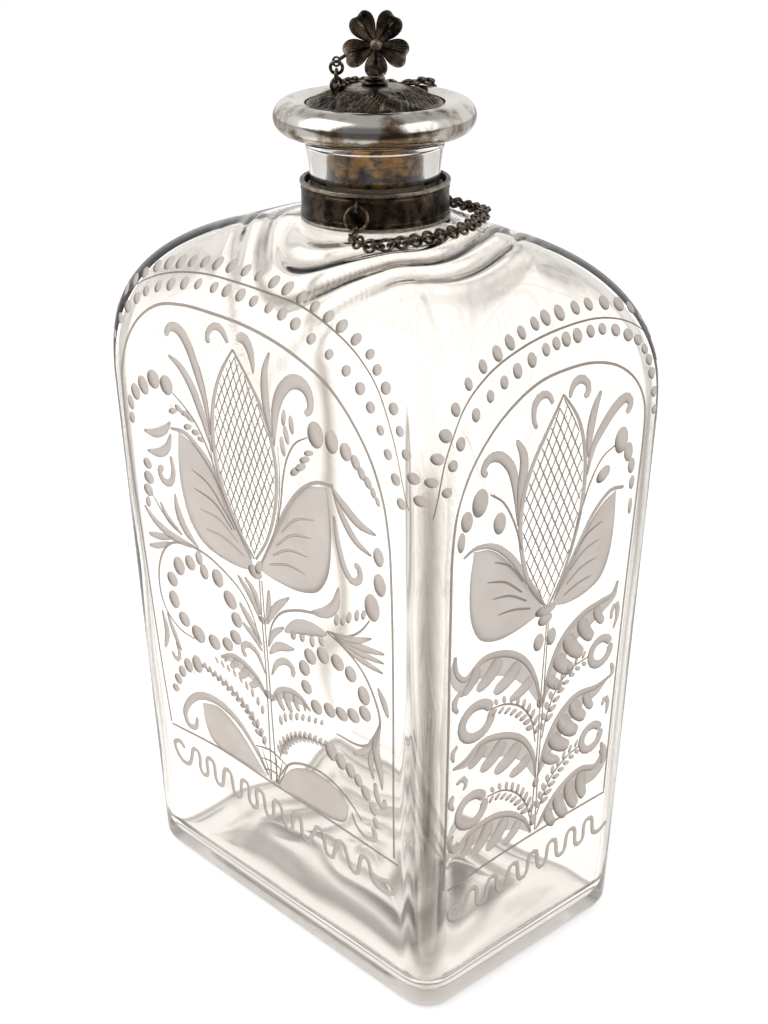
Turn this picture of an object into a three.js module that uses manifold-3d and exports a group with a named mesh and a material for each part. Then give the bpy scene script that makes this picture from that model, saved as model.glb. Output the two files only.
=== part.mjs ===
// Glass case decanter with a silver-mounted stopper on a chain.
// Millimetres, +Z up, origin at the middle of the base, wide face towards -Y, narrow face towards +X.
import * as THREE from "three";
import { mergeVertices } from "three/addons/utils/BufferGeometryUtils.js";
import Module from "manifold-3d";

const wasm = await Module();
wasm.setup();

const RADIANS = Math.PI / 180;

// Driving dimensions of the glass body
const WIDTH = 108.4;
const DEPTH = 70.4;
const BODY_HEIGHT = 138.4;
const LEAN = 0.0308; // outward lean of every wall per millimetre of height
const EDGE_RADIUS = 8.5;
const FOOT_RADIUS = 4.3;
const WALL = 3.2;
const INNER_EDGE_LEAST = 2.5;
const FLOOR = 5;
const FLOOR_RISE = 4;
const FLOOR_RADIUS = 5;
const KICK = 2.4;
const KICK_SHARE = 0.7; // share of the base that the kick takes
const SHOULDER_RISE = 41.8;
const SHOULDER_RISE_POWER = 2.7;
const SHOULDER_REACH_POWER = 1.96;
const SHOULDER_WALL = 4;

// Driving dimensions of the neck and its lip
const NECK_RADIUS = 14.85;
const NECK_HEIGHT = 18.2;
const NECK_WALL = 3.6;
const LIP_FLARE = 1.05;
const LIP_ROUND = 1.1;
const MOUTH_FLARE = 1.45;
const MOUTH_DEPTH = 3.2;
const MOUTH_ROUND = 0.6;

// Driving dimensions of the collar and its ring
const GAP = 0.3; // clearance between neighbouring pieces
const BEDDING = 0.75;
const COLLAR_SHEET = 0.8;
const COLLAR_HEIGHT = 8.7;
const COLLAR_BEAD = 0.3;
const COLLAR_BEAD_HEIGHT = 0.8;
const STAPLE_TURN = -12.4; // degrees from the flower's direction
const STAPLE_DROP = 2.5;
const STAPLE_WIRE = 0.7;
const STAPLE_BEND = 1.1;
const STAPLE_LEG = 0.9;
const RING_RADIUS = 2.6;
const RING_WIRE = 0.6;
const RING_LEAN = 22;

// Driving dimensions of the stopper
const STOPPER_TURN = -43; // polar direction that the flower faces
const ROLL_OVERHANG = 7.1;
const ROLL_THICKNESS = 4.1;
const ROLL_HALF_HEIGHT = 3.9;
const ROLL_SEAT_HEIGHT = 0.7;
const ROLL_LEDGE_WIDTH = 2.4;
const DOME_INSET = 3.4;
const DOME_SEAT = 2.8;
const DOME_RIM = 1.4;
const DOME_RISE = 4.2;
const DOME_SHEET = 1;
const PLUG_CLEARANCE = 0.35;
const PLUG_SHEET = 0.8;
const PLUG_DEPTH = 9.2;
const PLUG_DISC_HEIGHT = 1.2;
const STEP_WIDTH = 1;
const STEP_HEIGHT = 1.2;

// Driving dimensions of the finial
const STUD_RADIUS = 1.3;
const STUD_END = 0.6;
const STEM_RADIUS = 1.1;
const STEM_HEIGHT = 8.2;
const FOOT_RING_RADIUS = 3.1;
const FOOT_RING_HEIGHT = 0.9;
const FOOT_RING_ROUND = 0.4;
const NUT_RADIUS = 3.2;
const NUT_HEIGHT = 2;
const FLOWER_TILT = 8;
const FLOWER_REACH = 8.1;
const FLOWER_SHEET = 0.8;
const FLOWER_CUP = 1.4;
const FLOWER_EYE = 0.7;
const PETALS = 5;
const PETAL_GAP_REACH = 3;
const PETAL_NOTCH = 0.8;
const BEAD_RADIUS = 1.7;
const BEAD_RISE = 1.36;
const LUG_RADIUS = 0.95;
const LUG_WIRE = 0.5;
const LUG_ANGLE = 200;
const LUG_CLEARANCE = 0.4;
const LUG_TURN = -36;

// Driving dimensions of the chain
const LINK_RADIUS = 1.35;
const LINK_WIRE = 0.6;
const LINK_SLACK = 0.3;
const LINK_ROLL = 45;
const FIRST_ROLL = 90;
const LAST_ROLL = -30;
const DOME_ROLL = 25; // the links on the stopper lie flatter than the others
const CHAIN_CLEARANCE = 0.45;
const FRONT_LINKS = 7;
const SHOULDER_LINKS = 34;
const ROLL_CROSSING_TURN = 146;
// Route of the chain on the shoulder: degrees from the flower's direction, distance outside the collar
const ROUTE_ON_SHOULDER = [
  [-12.4, 3.4],
  [-12, 5.8],
  [-5.5, 9.6],
  [3, 11.2],
  [14, 10.4],
  [25, 8.9],
  [45, 8],
  [60, 7.6],
  [93, 8.4],
  [118, 8.1],
  [137, 8],
];
// Rise behind the neck: degrees short of the crossing, share of the height up to the roll
const RISE_TO_ROLL = [
  [5, 0.037],
  [1.6, 0.133],
  [0.2, 0.275],
  [0, 0.46],
  [0, 0.67],
  [0, 1],
];
// Route on the dome, from the roll to the flower: right of the flower, towards its front, above the dome
const ROUTE_ON_DOME = [
  [5.6, -13.2, 1.6],
  [0.6, -12.8, 1.4],
  [-4, -9.8, 1.35],
  [-7, -5, 1.3],
  [-8.3, 0.2, 1.35],
  [-8.5, 3, 1.8],
];

// Heights and radii that follow
const SHOULDER_TOP = BODY_HEIGHT + SHOULDER_RISE;
const LIP_TOP = SHOULDER_TOP + NECK_HEIGHT;
const LIP_RADIUS = NECK_RADIUS + LIP_FLARE;
const BORE_RADIUS = NECK_RADIUS - NECK_WALL;
const MOUTH_RADIUS = BORE_RADIUS + MOUTH_FLARE;
const COLLAR_INNER = NECK_RADIUS + BEDDING + 2 * GAP;
const COLLAR_RADIUS = COLLAR_INNER + COLLAR_SHEET;
const COLLAR_BOTTOM = SHOULDER_TOP + GAP;
const COLLAR_TOP = COLLAR_BOTTOM + COLLAR_HEIGHT;
const NECK_FLARE_START = COLLAR_TOP - COLLAR_BEAD_HEIGHT;
const STAPLE_HEIGHT = COLLAR_TOP - STAPLE_DROP;
const ROLL_SEAT = LIP_TOP + GAP;
const ROLL_MIDDLE = ROLL_SEAT + ROLL_SEAT_HEIGHT + ROLL_HALF_HEIGHT;
const ROLL_RADIUS = LIP_RADIUS + ROLL_OVERHANG;
const ROLL_CORE_RADIUS = ROLL_RADIUS - ROLL_THICKNESS;
const DOME_RADIUS = ROLL_CORE_RADIUS - DOME_INSET;
const DOME_BASE = ROLL_MIDDLE + DOME_SEAT;
const DOME_TOP = DOME_BASE + DOME_RISE;
const ROLL_LEDGE = DOME_BASE - DOME_RIM - GAP;
const PLUG_RADIUS = BORE_RADIUS - PLUG_CLEARANCE;
const PLUG_BOTTOM = LIP_TOP - PLUG_DEPTH;
const PLUG_TOP = ROLL_LEDGE - GAP;
const FLOWER_HEIGHT = DOME_TOP + STEM_HEIGHT;
const FLOWER_FORWARD = STEM_RADIUS + FLOWER_SHEET / 2 + 1.5 * GAP;
const LUG_REACH = FLOWER_REACH - PETAL_NOTCH + LUG_RADIUS + LUG_WIRE / 2 + LUG_CLEARANCE;
const LUG_DROP = LUG_RADIUS + LINK_RADIUS - LUG_WIRE / 2 - LINK_WIRE / 2 - 1.5 * GAP;
const LINK_PITCH = 2 * LINK_RADIUS - LINK_WIRE - LINK_SLACK;
const JOINED_PITCH = 2 * LINK_RADIUS - LINK_WIRE + LINK_SLACK;
const CHAIN_LIFT = LINK_RADIUS + CHAIN_CLEARANCE; // height of the chain's middle above what it lies on
const DOME_LIFT = LINK_RADIUS * Math.sin(DOME_ROLL * RADIANS) + LINK_WIRE / 2 + GAP;

const LATHE_STEPS = 36;
const ROUTE_STEPS = 600;
const SHOULDER_STEPS = 60;
const SEARCH_STEP = 0.02;

// Materials
const metal = (color, roughness) => new THREE.MeshStandardMaterial({ color, roughness, metalness: 1 });
const glass = new THREE.MeshStandardMaterial({ color: "#e9ebe8", roughness: 0.05, metalness: 0 });
const plaster = new THREE.MeshStandardMaterial({ color: "#cfc6b4", roughness: 0.9, metalness: 0 });
const tarnishedSilver = metal("#4a4038", 0.45);
const polishedSilver = metal("#b8b0a6", 0.25);
const wornGilding = metal("#9a7740", 0.4);

const decanter = new THREE.Group();

function addPiece(name, geometry, material, parent = decanter) {
  const mesh = new THREE.Mesh(geometry, material);
  mesh.name = name;
  parent.add(mesh);
  return mesh;
}

// Ring or disc turned about Z from [radius, height] points, listed with the outer side going up
function turned(points, steps = LATHE_STEPS) {
  const profile = points.map(([radius, height]) => new THREE.Vector2(radius, height));
  return new THREE.LatheGeometry(profile, steps).rotateX(Math.PI / 2);
}

function turnedRing(points, steps = LATHE_STEPS) {
  return turned([...points, points[0]], steps);
}

// Points on an elliptic arc in the radius and height plane
function arc(radius, height, reach, rise, from, to, steps) {
  return Array.from({ length: steps + 1 }, (_, step) => {
    const angle = (from + ((to - from) * step) / steps) * RADIANS;
    return [radius + reach * Math.cos(angle), height + rise * Math.sin(angle)];
  });
}

// Distance from the axis to a rounded rectangle in one polar direction
function rectangleReach(angle, halfWidth, halfDepth, corner) {
  const c = Math.abs(Math.cos(angle));
  const s = Math.abs(Math.sin(angle));
  const insideX = halfWidth - corner;
  const insideY = halfDepth - corner;
  if (halfWidth * s <= insideY * c) return halfWidth / c;
  if (halfDepth * c <= insideX * s) return halfDepth / s;
  const along = insideX * c + insideY * s;
  return along + Math.sqrt(along * along - insideX * insideX - insideY * insideY + corner * corner);
}

function bodyReach(angle, height, inset) {
  const grow = LEAN * height - inset;
  const corner = Math.max(EDGE_RADIUS - inset, INNER_EDGE_LEAST);
  return rectangleReach(angle, WIDTH / 2 + grow, DEPTH / 2 + grow, corner);
}

// Polar directions of the glass: close together round the corners, wider apart along the faces
function glassDirections() {
  const halfWidth = WIDTH / 2 + LEAN * BODY_HEIGHT;
  const halfDepth = DEPTH / 2 + LEAN * BODY_HEIGHT;
  const quarter = [];
  const arcSteps = 5;
  const corner = Array.from({ length: arcSteps + 1 }, (_, step) => {
    const turn = (step / arcSteps) * 90 * RADIANS;
    const x = halfWidth - EDGE_RADIUS * (1 - Math.cos(turn));
    const y = halfDepth - EDGE_RADIUS * (1 - Math.sin(turn));
    return Math.atan2(y, x);
  });
  const wideSteps = 3;
  const narrowSteps = 5;
  for (let step = 0; step < wideSteps; step += 1) quarter.push((corner[0] * step) / wideSteps);
  quarter.push(...corner);
  const left = Math.PI / 2 - corner[arcSteps];
  for (let step = 1; step < narrowSteps; step += 1) {
    quarter.push(corner[arcSteps] + (left * step) / narrowSteps);
  }
  const half = [...quarter, Math.PI / 2, ...quarter.slice(1).reverse().map((angle) => Math.PI - angle)];
  return [...half, ...half.map((angle) => angle + Math.PI)];
}

// Shoulder between a rounded rectangle and a neck circle; phase runs from 0 at the wall to 90 at the neck
function shoulderLevel(phase, inset, neck, top) {
  const share = Math.cos(phase * RADIANS) ** (2 / SHOULDER_REACH_POWER);
  const rise = Math.sin(phase * RADIANS) ** (2 / SHOULDER_RISE_POWER);
  return {
    height: BODY_HEIGHT + (top - BODY_HEIGHT) * rise,
    reach: (angle) => neck + (bodyReach(angle, BODY_HEIGHT, inset) - neck) * share,
  };
}

function shoulderHeight(x, y) {
  const wall = bodyReach(Math.atan2(y, x), BODY_HEIGHT, 0);
  const share = (Math.hypot(x, y) - NECK_RADIUS) / (wall - NECK_RADIUS);
  const cosine = Math.max(share, 0) ** (SHOULDER_REACH_POWER / 2);
  const rise = Math.sqrt(Math.max(1 - cosine * cosine, 0)) ** (2 / SHOULDER_RISE_POWER);
  return BODY_HEIGHT + (SHOULDER_TOP - BODY_HEIGHT) * rise;
}

// Height of a point that lies off the sloping shoulder by a distance square to it
function heightOnGlass(x, y, distance) {
  const near = 0.99;
  const here = shoulderHeight(x, y);
  const slope = (shoulderHeight(x * near, y * near) - here) / (Math.hypot(x, y) * (1 - near));
  return here + distance * Math.hypot(1, slope);
}

// Glass levels from the middle of the base, up the outside, over the lip and down the inside
function glassLevels() {
  const round = (radius, height) => ({ height, reach: () => radius });
  const wall = (height, inset) => ({ height, reach: (angle) => bodyReach(angle, height, inset) });
  const scaled = (share, height, inset) => ({
    height,
    reach: (angle) => share * bodyReach(angle, height, inset),
  });
  const levels = [];
  for (const share of [0, 0.35, 0.6]) {
    levels.push(scaled(share, KICK * (1 - (share / KICK_SHARE) ** 2), FOOT_RADIUS));
  }
  levels.push(scaled(KICK_SHARE, 0, FOOT_RADIUS));
  for (const turn of [0, 30, 60, 90]) {
    const inset = FOOT_RADIUS * (1 - Math.sin(turn * RADIANS));
    levels.push(wall(FOOT_RADIUS * (1 - Math.cos(turn * RADIANS)), inset));
  }
  for (const share of [0.35, 0.7]) levels.push(wall(BODY_HEIGHT * share, 0));
  for (const phase of [0, 9, 18, 28, 38, 48, 58, 68, 79, 90]) {
    levels.push(shoulderLevel(phase, 0, NECK_RADIUS, SHOULDER_TOP));
  }
  levels.push(round(NECK_RADIUS, NECK_FLARE_START));
  const lip = arc(LIP_RADIUS - LIP_ROUND, LIP_TOP - LIP_ROUND, LIP_ROUND, LIP_ROUND, 0, 90, 3);
  levels.push(...lip.map(([radius, height]) => round(radius, height)));
  levels.push(round(MOUTH_RADIUS + MOUTH_ROUND, LIP_TOP));
  levels.push(round(MOUTH_RADIUS, LIP_TOP - MOUTH_ROUND));
  levels.push(round(MOUTH_RADIUS, LIP_TOP - MOUTH_DEPTH / 2));
  levels.push(round(BORE_RADIUS, LIP_TOP - MOUTH_DEPTH));
  for (const phase of [90, 76, 62, 48, 34, 18, 0]) {
    levels.push(shoulderLevel(phase, WALL, BORE_RADIUS, SHOULDER_TOP - SHOULDER_WALL));
  }
  for (const turn of [0, 30, 60, 90]) {
    const inset = WALL + FLOOR_RADIUS * (1 - Math.cos(turn * RADIANS));
    levels.push(wall(FLOOR + FLOOR_RADIUS * (1 - Math.sin(turn * RADIANS)), inset));
  }
  for (const share of [0.6, 0.3, 0]) {
    levels.push(scaled(share, FLOOR + FLOOR_RISE * (1 - share ** 2), WALL + FLOOR_RADIUS));
  }
  return levels;
}

// A lathe whose points are pushed out to the glass levels
function bottleGeometry() {
  const directions = glassDirections();
  const levels = glassLevels();
  const profile = levels.map(({ height, reach }) => new THREE.Vector2(reach(0), height));
  const geometry = new THREE.LatheGeometry(profile, directions.length);
  const position = geometry.attributes.position;
  for (let index = 0; index < position.count; index += 1) {
    const angle = directions[Math.floor(index / levels.length) % directions.length];
    const { height, reach } = levels[index % levels.length];
    position.setXYZ(index, reach(angle) * Math.cos(angle), reach(angle) * Math.sin(angle), height);
  }
  return geometry;
}

// Glass bottle and the collar on its neck
function addBottle() {
  addPiece("bottle", bottleGeometry(), glass);
  const beddingInner = NECK_RADIUS + GAP;
  const beddingBottom = COLLAR_BOTTOM + COLLAR_BEAD_HEIGHT;
  const beddingTop = NECK_FLARE_START - 2 * GAP;
  const bedding = [
    [beddingInner, beddingBottom],
    [beddingInner + BEDDING, beddingBottom],
    [beddingInner + BEDDING, beddingTop],
    [beddingInner, beddingTop],
  ];
  addPiece("collar_bedding", turnedRing(bedding), plaster);
  const beadRadius = COLLAR_RADIUS + COLLAR_BEAD;
  const collar = [
    [COLLAR_INNER, COLLAR_BOTTOM],
    [beadRadius, COLLAR_BOTTOM],
    [beadRadius, COLLAR_BOTTOM + COLLAR_BEAD_HEIGHT],
    [COLLAR_RADIUS, COLLAR_BOTTOM + COLLAR_BEAD_HEIGHT + COLLAR_BEAD],
    [COLLAR_RADIUS, COLLAR_TOP - COLLAR_BEAD_HEIGHT - COLLAR_BEAD],
    [beadRadius, COLLAR_TOP - COLLAR_BEAD_HEIGHT],
    [beadRadius, COLLAR_TOP],
    [COLLAR_INNER, COLLAR_TOP],
  ];
  addPiece("neck_collar", turnedRing(collar), tarnishedSilver);
}

// Group whose X points away from the axis in the direction of the chain's staple
function stapleFrame() {
  const frame = new THREE.Group();
  frame.rotation.z = (STOPPER_TURN + STAPLE_TURN) * RADIANS;
  decanter.add(frame);
  return frame;
}

function addStapleAndRing() {
  const frame = stapleFrame();
  const outline = new THREE.CurvePath();
  const inner = COLLAR_RADIUS + GAP;
  const bendCentre = inner + STAPLE_LEG;
  const point = (x, z) => new THREE.Vector3(x, 0, z);
  const bendSteps = 8;
  const bend = Array.from({ length: bendSteps + 1 }, (_, step) => {
    const angle = Math.PI / 2 - (Math.PI * step) / bendSteps;
    return point(bendCentre + STAPLE_BEND * Math.cos(angle), STAPLE_HEIGHT + STAPLE_BEND * Math.sin(angle));
  });
  outline.add(new THREE.LineCurve3(point(inner, STAPLE_HEIGHT + STAPLE_BEND), bend[0]));
  outline.add(new THREE.CatmullRomCurve3(bend));
  outline.add(new THREE.LineCurve3(bend[bend.length - 1], point(inner, STAPLE_HEIGHT - STAPLE_BEND)));
  const section = new THREE.Shape().absarc(0, 0, STAPLE_WIRE / 2, 0, 2 * Math.PI);
  const staple = new THREE.ExtrudeGeometry(section, { steps: 16, curveSegments: 4, extrudePath: outline });
  addPiece("collar_staple", staple, tarnishedSilver, frame);

  const hinge = new THREE.Group();
  hinge.position.set(bendCentre, 0, STAPLE_HEIGHT);
  hinge.rotation.y = Math.PI / 2 - RING_LEAN * RADIANS;
  frame.add(hinge);
  const ring = new THREE.TorusGeometry(RING_RADIUS, RING_WIRE / 2, 5, 20);
  addPiece("jump_ring", ring, tarnishedSilver, hinge).position.set(RING_RADIUS, 0, 0);
}

function domeHeight(radius) {
  return DOME_BASE + DOME_RISE * (1 - (radius / DOME_RADIUS) ** 2);
}

// Direction square to the dome's outside over a place
function domeNormal({ x, y }) {
  const steep = (2 * DOME_RISE) / DOME_RADIUS ** 2;
  return new THREE.Vector3(steep * x, steep * y, 1).normalize();
}

// Rolled rim, chased dome and gilt plug of the stopper
function addStopper() {
  const rollHole = DOME_RADIUS - ROLL_LEDGE_WIDTH;
  const roll = [
    [rollHole, ROLL_SEAT],
    [LIP_RADIUS + GAP, ROLL_SEAT],
    [LIP_RADIUS + 2 * GAP, ROLL_MIDDLE - ROLL_HALF_HEIGHT],
    ...arc(ROLL_CORE_RADIUS, ROLL_MIDDLE, ROLL_THICKNESS, ROLL_HALF_HEIGHT, -90, 90, 10),
    [DOME_RADIUS + GAP, DOME_BASE + GAP],
    [DOME_RADIUS + GAP, ROLL_LEDGE],
    [rollHole, ROLL_LEDGE],
  ];
  addPiece("rim_roll", turnedRing(roll), polishedSilver);

  const hole = STUD_RADIUS + GAP;
  const domePoint = (share, depth) => {
    const radius = hole + (DOME_RADIUS - hole) * share;
    return [radius, domeHeight(radius) - depth];
  };
  const outside = [1, 0.82, 0.6, 0.36, 0.14, 0].map((share) => domePoint(share, 0));
  const inside = [0, 0.36, 0.68].map((share) => domePoint(share, DOME_SHEET));
  inside.push([DOME_RADIUS - DOME_SHEET, domeHeight(DOME_RADIUS - DOME_SHEET) - DOME_SHEET]);
  const rim = ROLL_LEDGE + GAP;
  const dome = [[DOME_RADIUS, rim], ...outside, ...inside, [DOME_RADIUS - DOME_SHEET, rim]];
  addPiece("stopper_dome", turnedRing(dome), tarnishedSilver);

  const bore = PLUG_RADIUS - PLUG_SHEET;
  const sleeve = [
    [bore, PLUG_BOTTOM],
    [PLUG_RADIUS, PLUG_BOTTOM],
    [PLUG_RADIUS, PLUG_TOP],
    [bore, PLUG_TOP],
  ];
  addPiece("plug_sleeve", turnedRing(sleeve), wornGilding);

  const stepInner = PLUG_RADIUS + GAP;
  const stepOuter = stepInner + STEP_WIDTH;
  const stepTop = ROLL_SEAT - GAP;
  const step = [
    [stepInner, stepTop - STEP_HEIGHT],
    [stepInner + STEP_WIDTH / 2, stepTop - STEP_HEIGHT],
    [stepOuter, stepTop - STEP_HEIGHT / 2],
    [stepOuter, stepTop],
    [stepInner, stepTop],
  ];
  addPiece("plug_step", turnedRing(step), wornGilding);

  const disc = [
    [0, PLUG_BOTTOM + GAP],
    [bore - GAP, PLUG_BOTTOM + GAP],
    [bore - GAP, PLUG_BOTTOM + GAP + PLUG_DISC_HEIGHT],
    [0, PLUG_BOTTOM + GAP + PLUG_DISC_HEIGHT],
  ];
  addPiece("plug_disc", turned(disc), wornGilding);
}

// Stud through the dome, its nut, and the stem that carries the flower
function addStem() {
  const footBottom = DOME_TOP + GAP;
  const footTop = footBottom + FOOT_RING_HEIGHT;
  const nutTop = domeHeight(NUT_RADIUS) - DOME_SHEET - GAP;
  const nutBottom = nutTop - NUT_HEIGHT;
  const stem = [
    [0, nutBottom - STUD_END],
    [STUD_RADIUS, nutBottom - STUD_END],
    [STUD_RADIUS, footBottom],
    [FOOT_RING_RADIUS - FOOT_RING_ROUND, footBottom],
    [FOOT_RING_RADIUS, (footBottom + footTop) / 2],
    [FOOT_RING_RADIUS - FOOT_RING_ROUND, footTop],
    [STEM_RADIUS * 1.5, footTop + STEM_RADIUS / 2],
    [STEM_RADIUS, footTop + STEM_RADIUS * 1.5],
    [STEM_RADIUS, FLOWER_HEIGHT + STEM_RADIUS],
    [0, FLOWER_HEIGHT + 2 * STEM_RADIUS],
  ];
  addPiece("finial_stem", turned(stem, 20), polishedSilver);
  const nutSides = 8;
  const nutHole = (STUD_RADIUS + GAP) / Math.cos(Math.PI / nutSides);
  const nut = [
    [nutHole, nutBottom],
    [NUT_RADIUS, nutBottom],
    [NUT_RADIUS, nutTop],
    [nutHole, nutTop],
  ];
  addPiece("finial_nut", turnedRing(nut, nutSides), polishedSilver);
}

// Group in the flower's plane: X to its right, Y up, Z out of its face
function flowerFrame() {
  const frame = new THREE.Group();
  const front = polarPoint(0, 1, 0);
  const right = new THREE.Vector3(0, 0, 1).cross(front);
  const tilt = FLOWER_TILT * RADIANS;
  const face = front.clone().multiplyScalar(Math.cos(tilt)).setZ(Math.sin(tilt));
  const up = face.clone().cross(right);
  frame.quaternion.setFromRotationMatrix(new THREE.Matrix4().makeBasis(right, up, face));
  frame.position.copy(front.multiplyScalar(FLOWER_FORWARD)).setZ(FLOWER_HEIGHT);
  decanter.add(frame);
  return frame;
}

// Outline of the flower: heart-shaped petals, one pointing down
function petalReach(angle) {
  const step = (2 * Math.PI) / PETALS;
  const fromPetal = angle + Math.PI / 2;
  const share = Math.abs(fromPetal / step - Math.round(fromPetal / step)) * 2;
  const lobe = (1 - share ** 3) ** 0.55;
  const notch = PETAL_NOTCH * Math.exp(-((share / 0.25) ** 2));
  return PETAL_GAP_REACH + (FLOWER_REACH - PETAL_GAP_REACH) * lobe - notch;
}

function flowerGeometry() {
  const shares = [0, 0.5, 1];
  const rows = [
    ...shares.map((share) => ({ share, side: -0.5 })),
    ...shares.toReversed().map((share) => ({ share, side: 0.5 })),
    { share: 0, side: -0.5 },
  ];
  const steps = 12 * PETALS;
  const profile = rows.map(({ share, side }) => new THREE.Vector2(1 + share, side));
  const geometry = new THREE.LatheGeometry(profile, steps);
  const position = geometry.attributes.position;
  for (let index = 0; index < position.count; index += 1) {
    const { share, side } = rows[index % rows.length];
    const angle = ((Math.floor(index / rows.length) % steps) / steps) * 2 * Math.PI;
    const reach = FLOWER_EYE + (petalReach(angle) - FLOWER_EYE) * share;
    const height = FLOWER_CUP * (reach / FLOWER_REACH) ** 2 + FLOWER_SHEET * side;
    position.setXYZ(index, reach * Math.cos(angle), reach * Math.sin(angle), height);
  }
  return geometry;
}

// Adds the flower and returns the middle of the lug that holds the chain
function addFlower() {
  const frame = flowerFrame();
  addPiece("flower", flowerGeometry(), polishedSilver, frame);
  const beadBase = FLOWER_SHEET / 2 + FLOWER_CUP * (BEAD_RADIUS / FLOWER_REACH) ** 2 + GAP;
  const bead = turned(
    [
      [0, beadBase],
      [BEAD_RADIUS, beadBase],
      ...arc(0, beadBase + GAP, BEAD_RADIUS, BEAD_RISE, 0, 90, 4),
    ],
    14,
  );
  addPiece("flower_bead", bead, polishedSilver, frame);
  const lug = new THREE.TorusGeometry(LUG_RADIUS, LUG_WIRE / 2, 5, 12);
  const angle = LUG_ANGLE * RADIANS;
  const place = new THREE.Vector3(LUG_REACH * Math.cos(angle), LUG_REACH * Math.sin(angle), FLOWER_CUP);
  const lugMesh = addPiece("petal_lug", lug, tarnishedSilver, frame);
  lugMesh.position.copy(place);
  lugMesh.rotation.y = LUG_TURN * RADIANS;
  frame.updateMatrixWorld();
  return frame.localToWorld(place);
}

// Point at a turn from the flower's direction and a distance from the axis
function polarPoint(turn, reach, height) {
  const angle = (STOPPER_TURN + turn) * RADIANS;
  return new THREE.Vector3(reach * Math.cos(angle), reach * Math.sin(angle), height);
}

// Whole route of the chain: along the shoulder, up behind the neck, over the roll, across the dome
function chainRoute(lugMiddle) {
  const plan = ROUTE_ON_SHOULDER.map(([turn, away]) => polarPoint(turn, COLLAR_RADIUS + away, 0));
  const points = new THREE.CatmullRomCurve3(plan).getSpacedPoints(SHOULDER_STEPS);
  for (const point of points) point.z = heightOnGlass(point.x, point.y, CHAIN_LIFT);
  const clear = ROLL_THICKNESS + CHAIN_LIFT;
  const low = ROLL_THICKNESS + DOME_LIFT;
  const foot = points[points.length - 1].z;
  const rise = ROLL_MIDDLE - LINK_RADIUS - foot;
  for (const [short, share] of RISE_TO_ROLL) {
    points.push(polarPoint(ROLL_CROSSING_TURN - short, ROLL_CORE_RADIUS + clear, foot + rise * share));
  }
  for (const [lean, away] of [[25, clear], [55, (clear + low) / 2], [90, low]]) {
    const reach = ROLL_CORE_RADIUS + away * Math.cos(lean * RADIANS);
    points.push(polarPoint(ROLL_CROSSING_TURN, reach, ROLL_MIDDLE + away * Math.sin(lean * RADIANS)));
  }
  for (const [right, front, lift] of ROUTE_ON_DOME) {
    const reach = Math.hypot(right, front);
    points.push(polarPoint(Math.atan2(right, front) / RADIANS, reach, domeHeight(reach) + lift));
  }
  points.push(lugMiddle.clone().setZ(lugMiddle.z - LUG_DROP));
  return new THREE.CatmullRomCurve3(points, false, "centripetal");
}

// Arc length at which the route first rises past a height, looking from one length on
function lengthAtHeight(route, height, from) {
  const total = route.getLength();
  let length = from;
  while (length < total && route.getPointAt(length / total).z < height) length += SEARCH_STEP;
  return length;
}

// Directions square to the route, carried along it without twisting
function routeSides(route) {
  const up = new THREE.Vector3(0, 0, 1);
  return Array.from({ length: ROUTE_STEPS + 1 }, (_, step) => {
    const along = route.getTangentAt(step / ROUTE_STEPS);
    return up.addScaledVector(along, -up.dot(along)).normalize().clone();
  });
}

// One link at a length along the route, rolled about it from the carried side or from the dome's upright
function linkGeometry({ route, sides }, length, roll, flat = false) {
  const share = Math.min(length / route.getLength(), 1);
  const along = route.getTangentAt(share);
  const lie = flat ? domeNormal(route.getPointAt(share)) : sides[Math.round(share * ROUTE_STEPS)].clone();
  lie.addScaledVector(along, -lie.dot(along)).normalize();
  lie.applyAxisAngle(along, roll * RADIANS);
  const across = lie.clone().cross(along);
  const place = new THREE.Matrix4().makeBasis(along, across, lie).setPosition(route.getPointAt(share));
  return new THREE.TorusGeometry(LINK_RADIUS, LINK_WIRE / 2, 4, 8).applyMatrix4(place);
}

// Links roll to one side and the other in turn
function linkRoll(index, roll = LINK_ROLL) {
  return roll * (index % 2 ? 1 : -1);
}

function toSolid(geometry) {
  const bare = geometry.clone();
  bare.deleteAttribute("normal");
  bare.deleteAttribute("uv");
  const welded = mergeVertices(bare, 1e-4);
  const mesh = new wasm.Mesh({
    numProp: 3,
    vertProperties: new Float32Array(welded.attributes.position.array),
    triVerts: new Uint32Array(welded.index.array),
  });
  return new wasm.Manifold(mesh);
}

function fromSolid(solid) {
  const mesh = solid.getMesh();
  const geometry = new THREE.BufferGeometry();
  geometry.setAttribute("position", new THREE.BufferAttribute(mesh.vertProperties, 3));
  geometry.setIndex(new THREE.BufferAttribute(mesh.triVerts, 1));
  return geometry;
}

// A run of links, joined where each one holds the next; on the dome its inner links lie flat
function joinedRun(chain, from, to, firstIndex, onDome = false) {
  const count = Math.round((to - from) / JOINED_PITCH);
  let run = null;
  for (let step = 0; step <= count; step += 1) {
    const flat = onDome && step > 0 && step < count;
    const last = onDome && step === count;
    const roll = last ? LAST_ROLL : linkRoll(firstIndex + step, flat ? DOME_ROLL : LINK_ROLL);
    const link = toSolid(linkGeometry(chain, from + ((to - from) * step) / count, roll, flat));
    run = run ? run.add(link) : link;
  }
  return { geometry: fromSolid(run), nextIndex: firstIndex + count + 1 };
}

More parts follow.
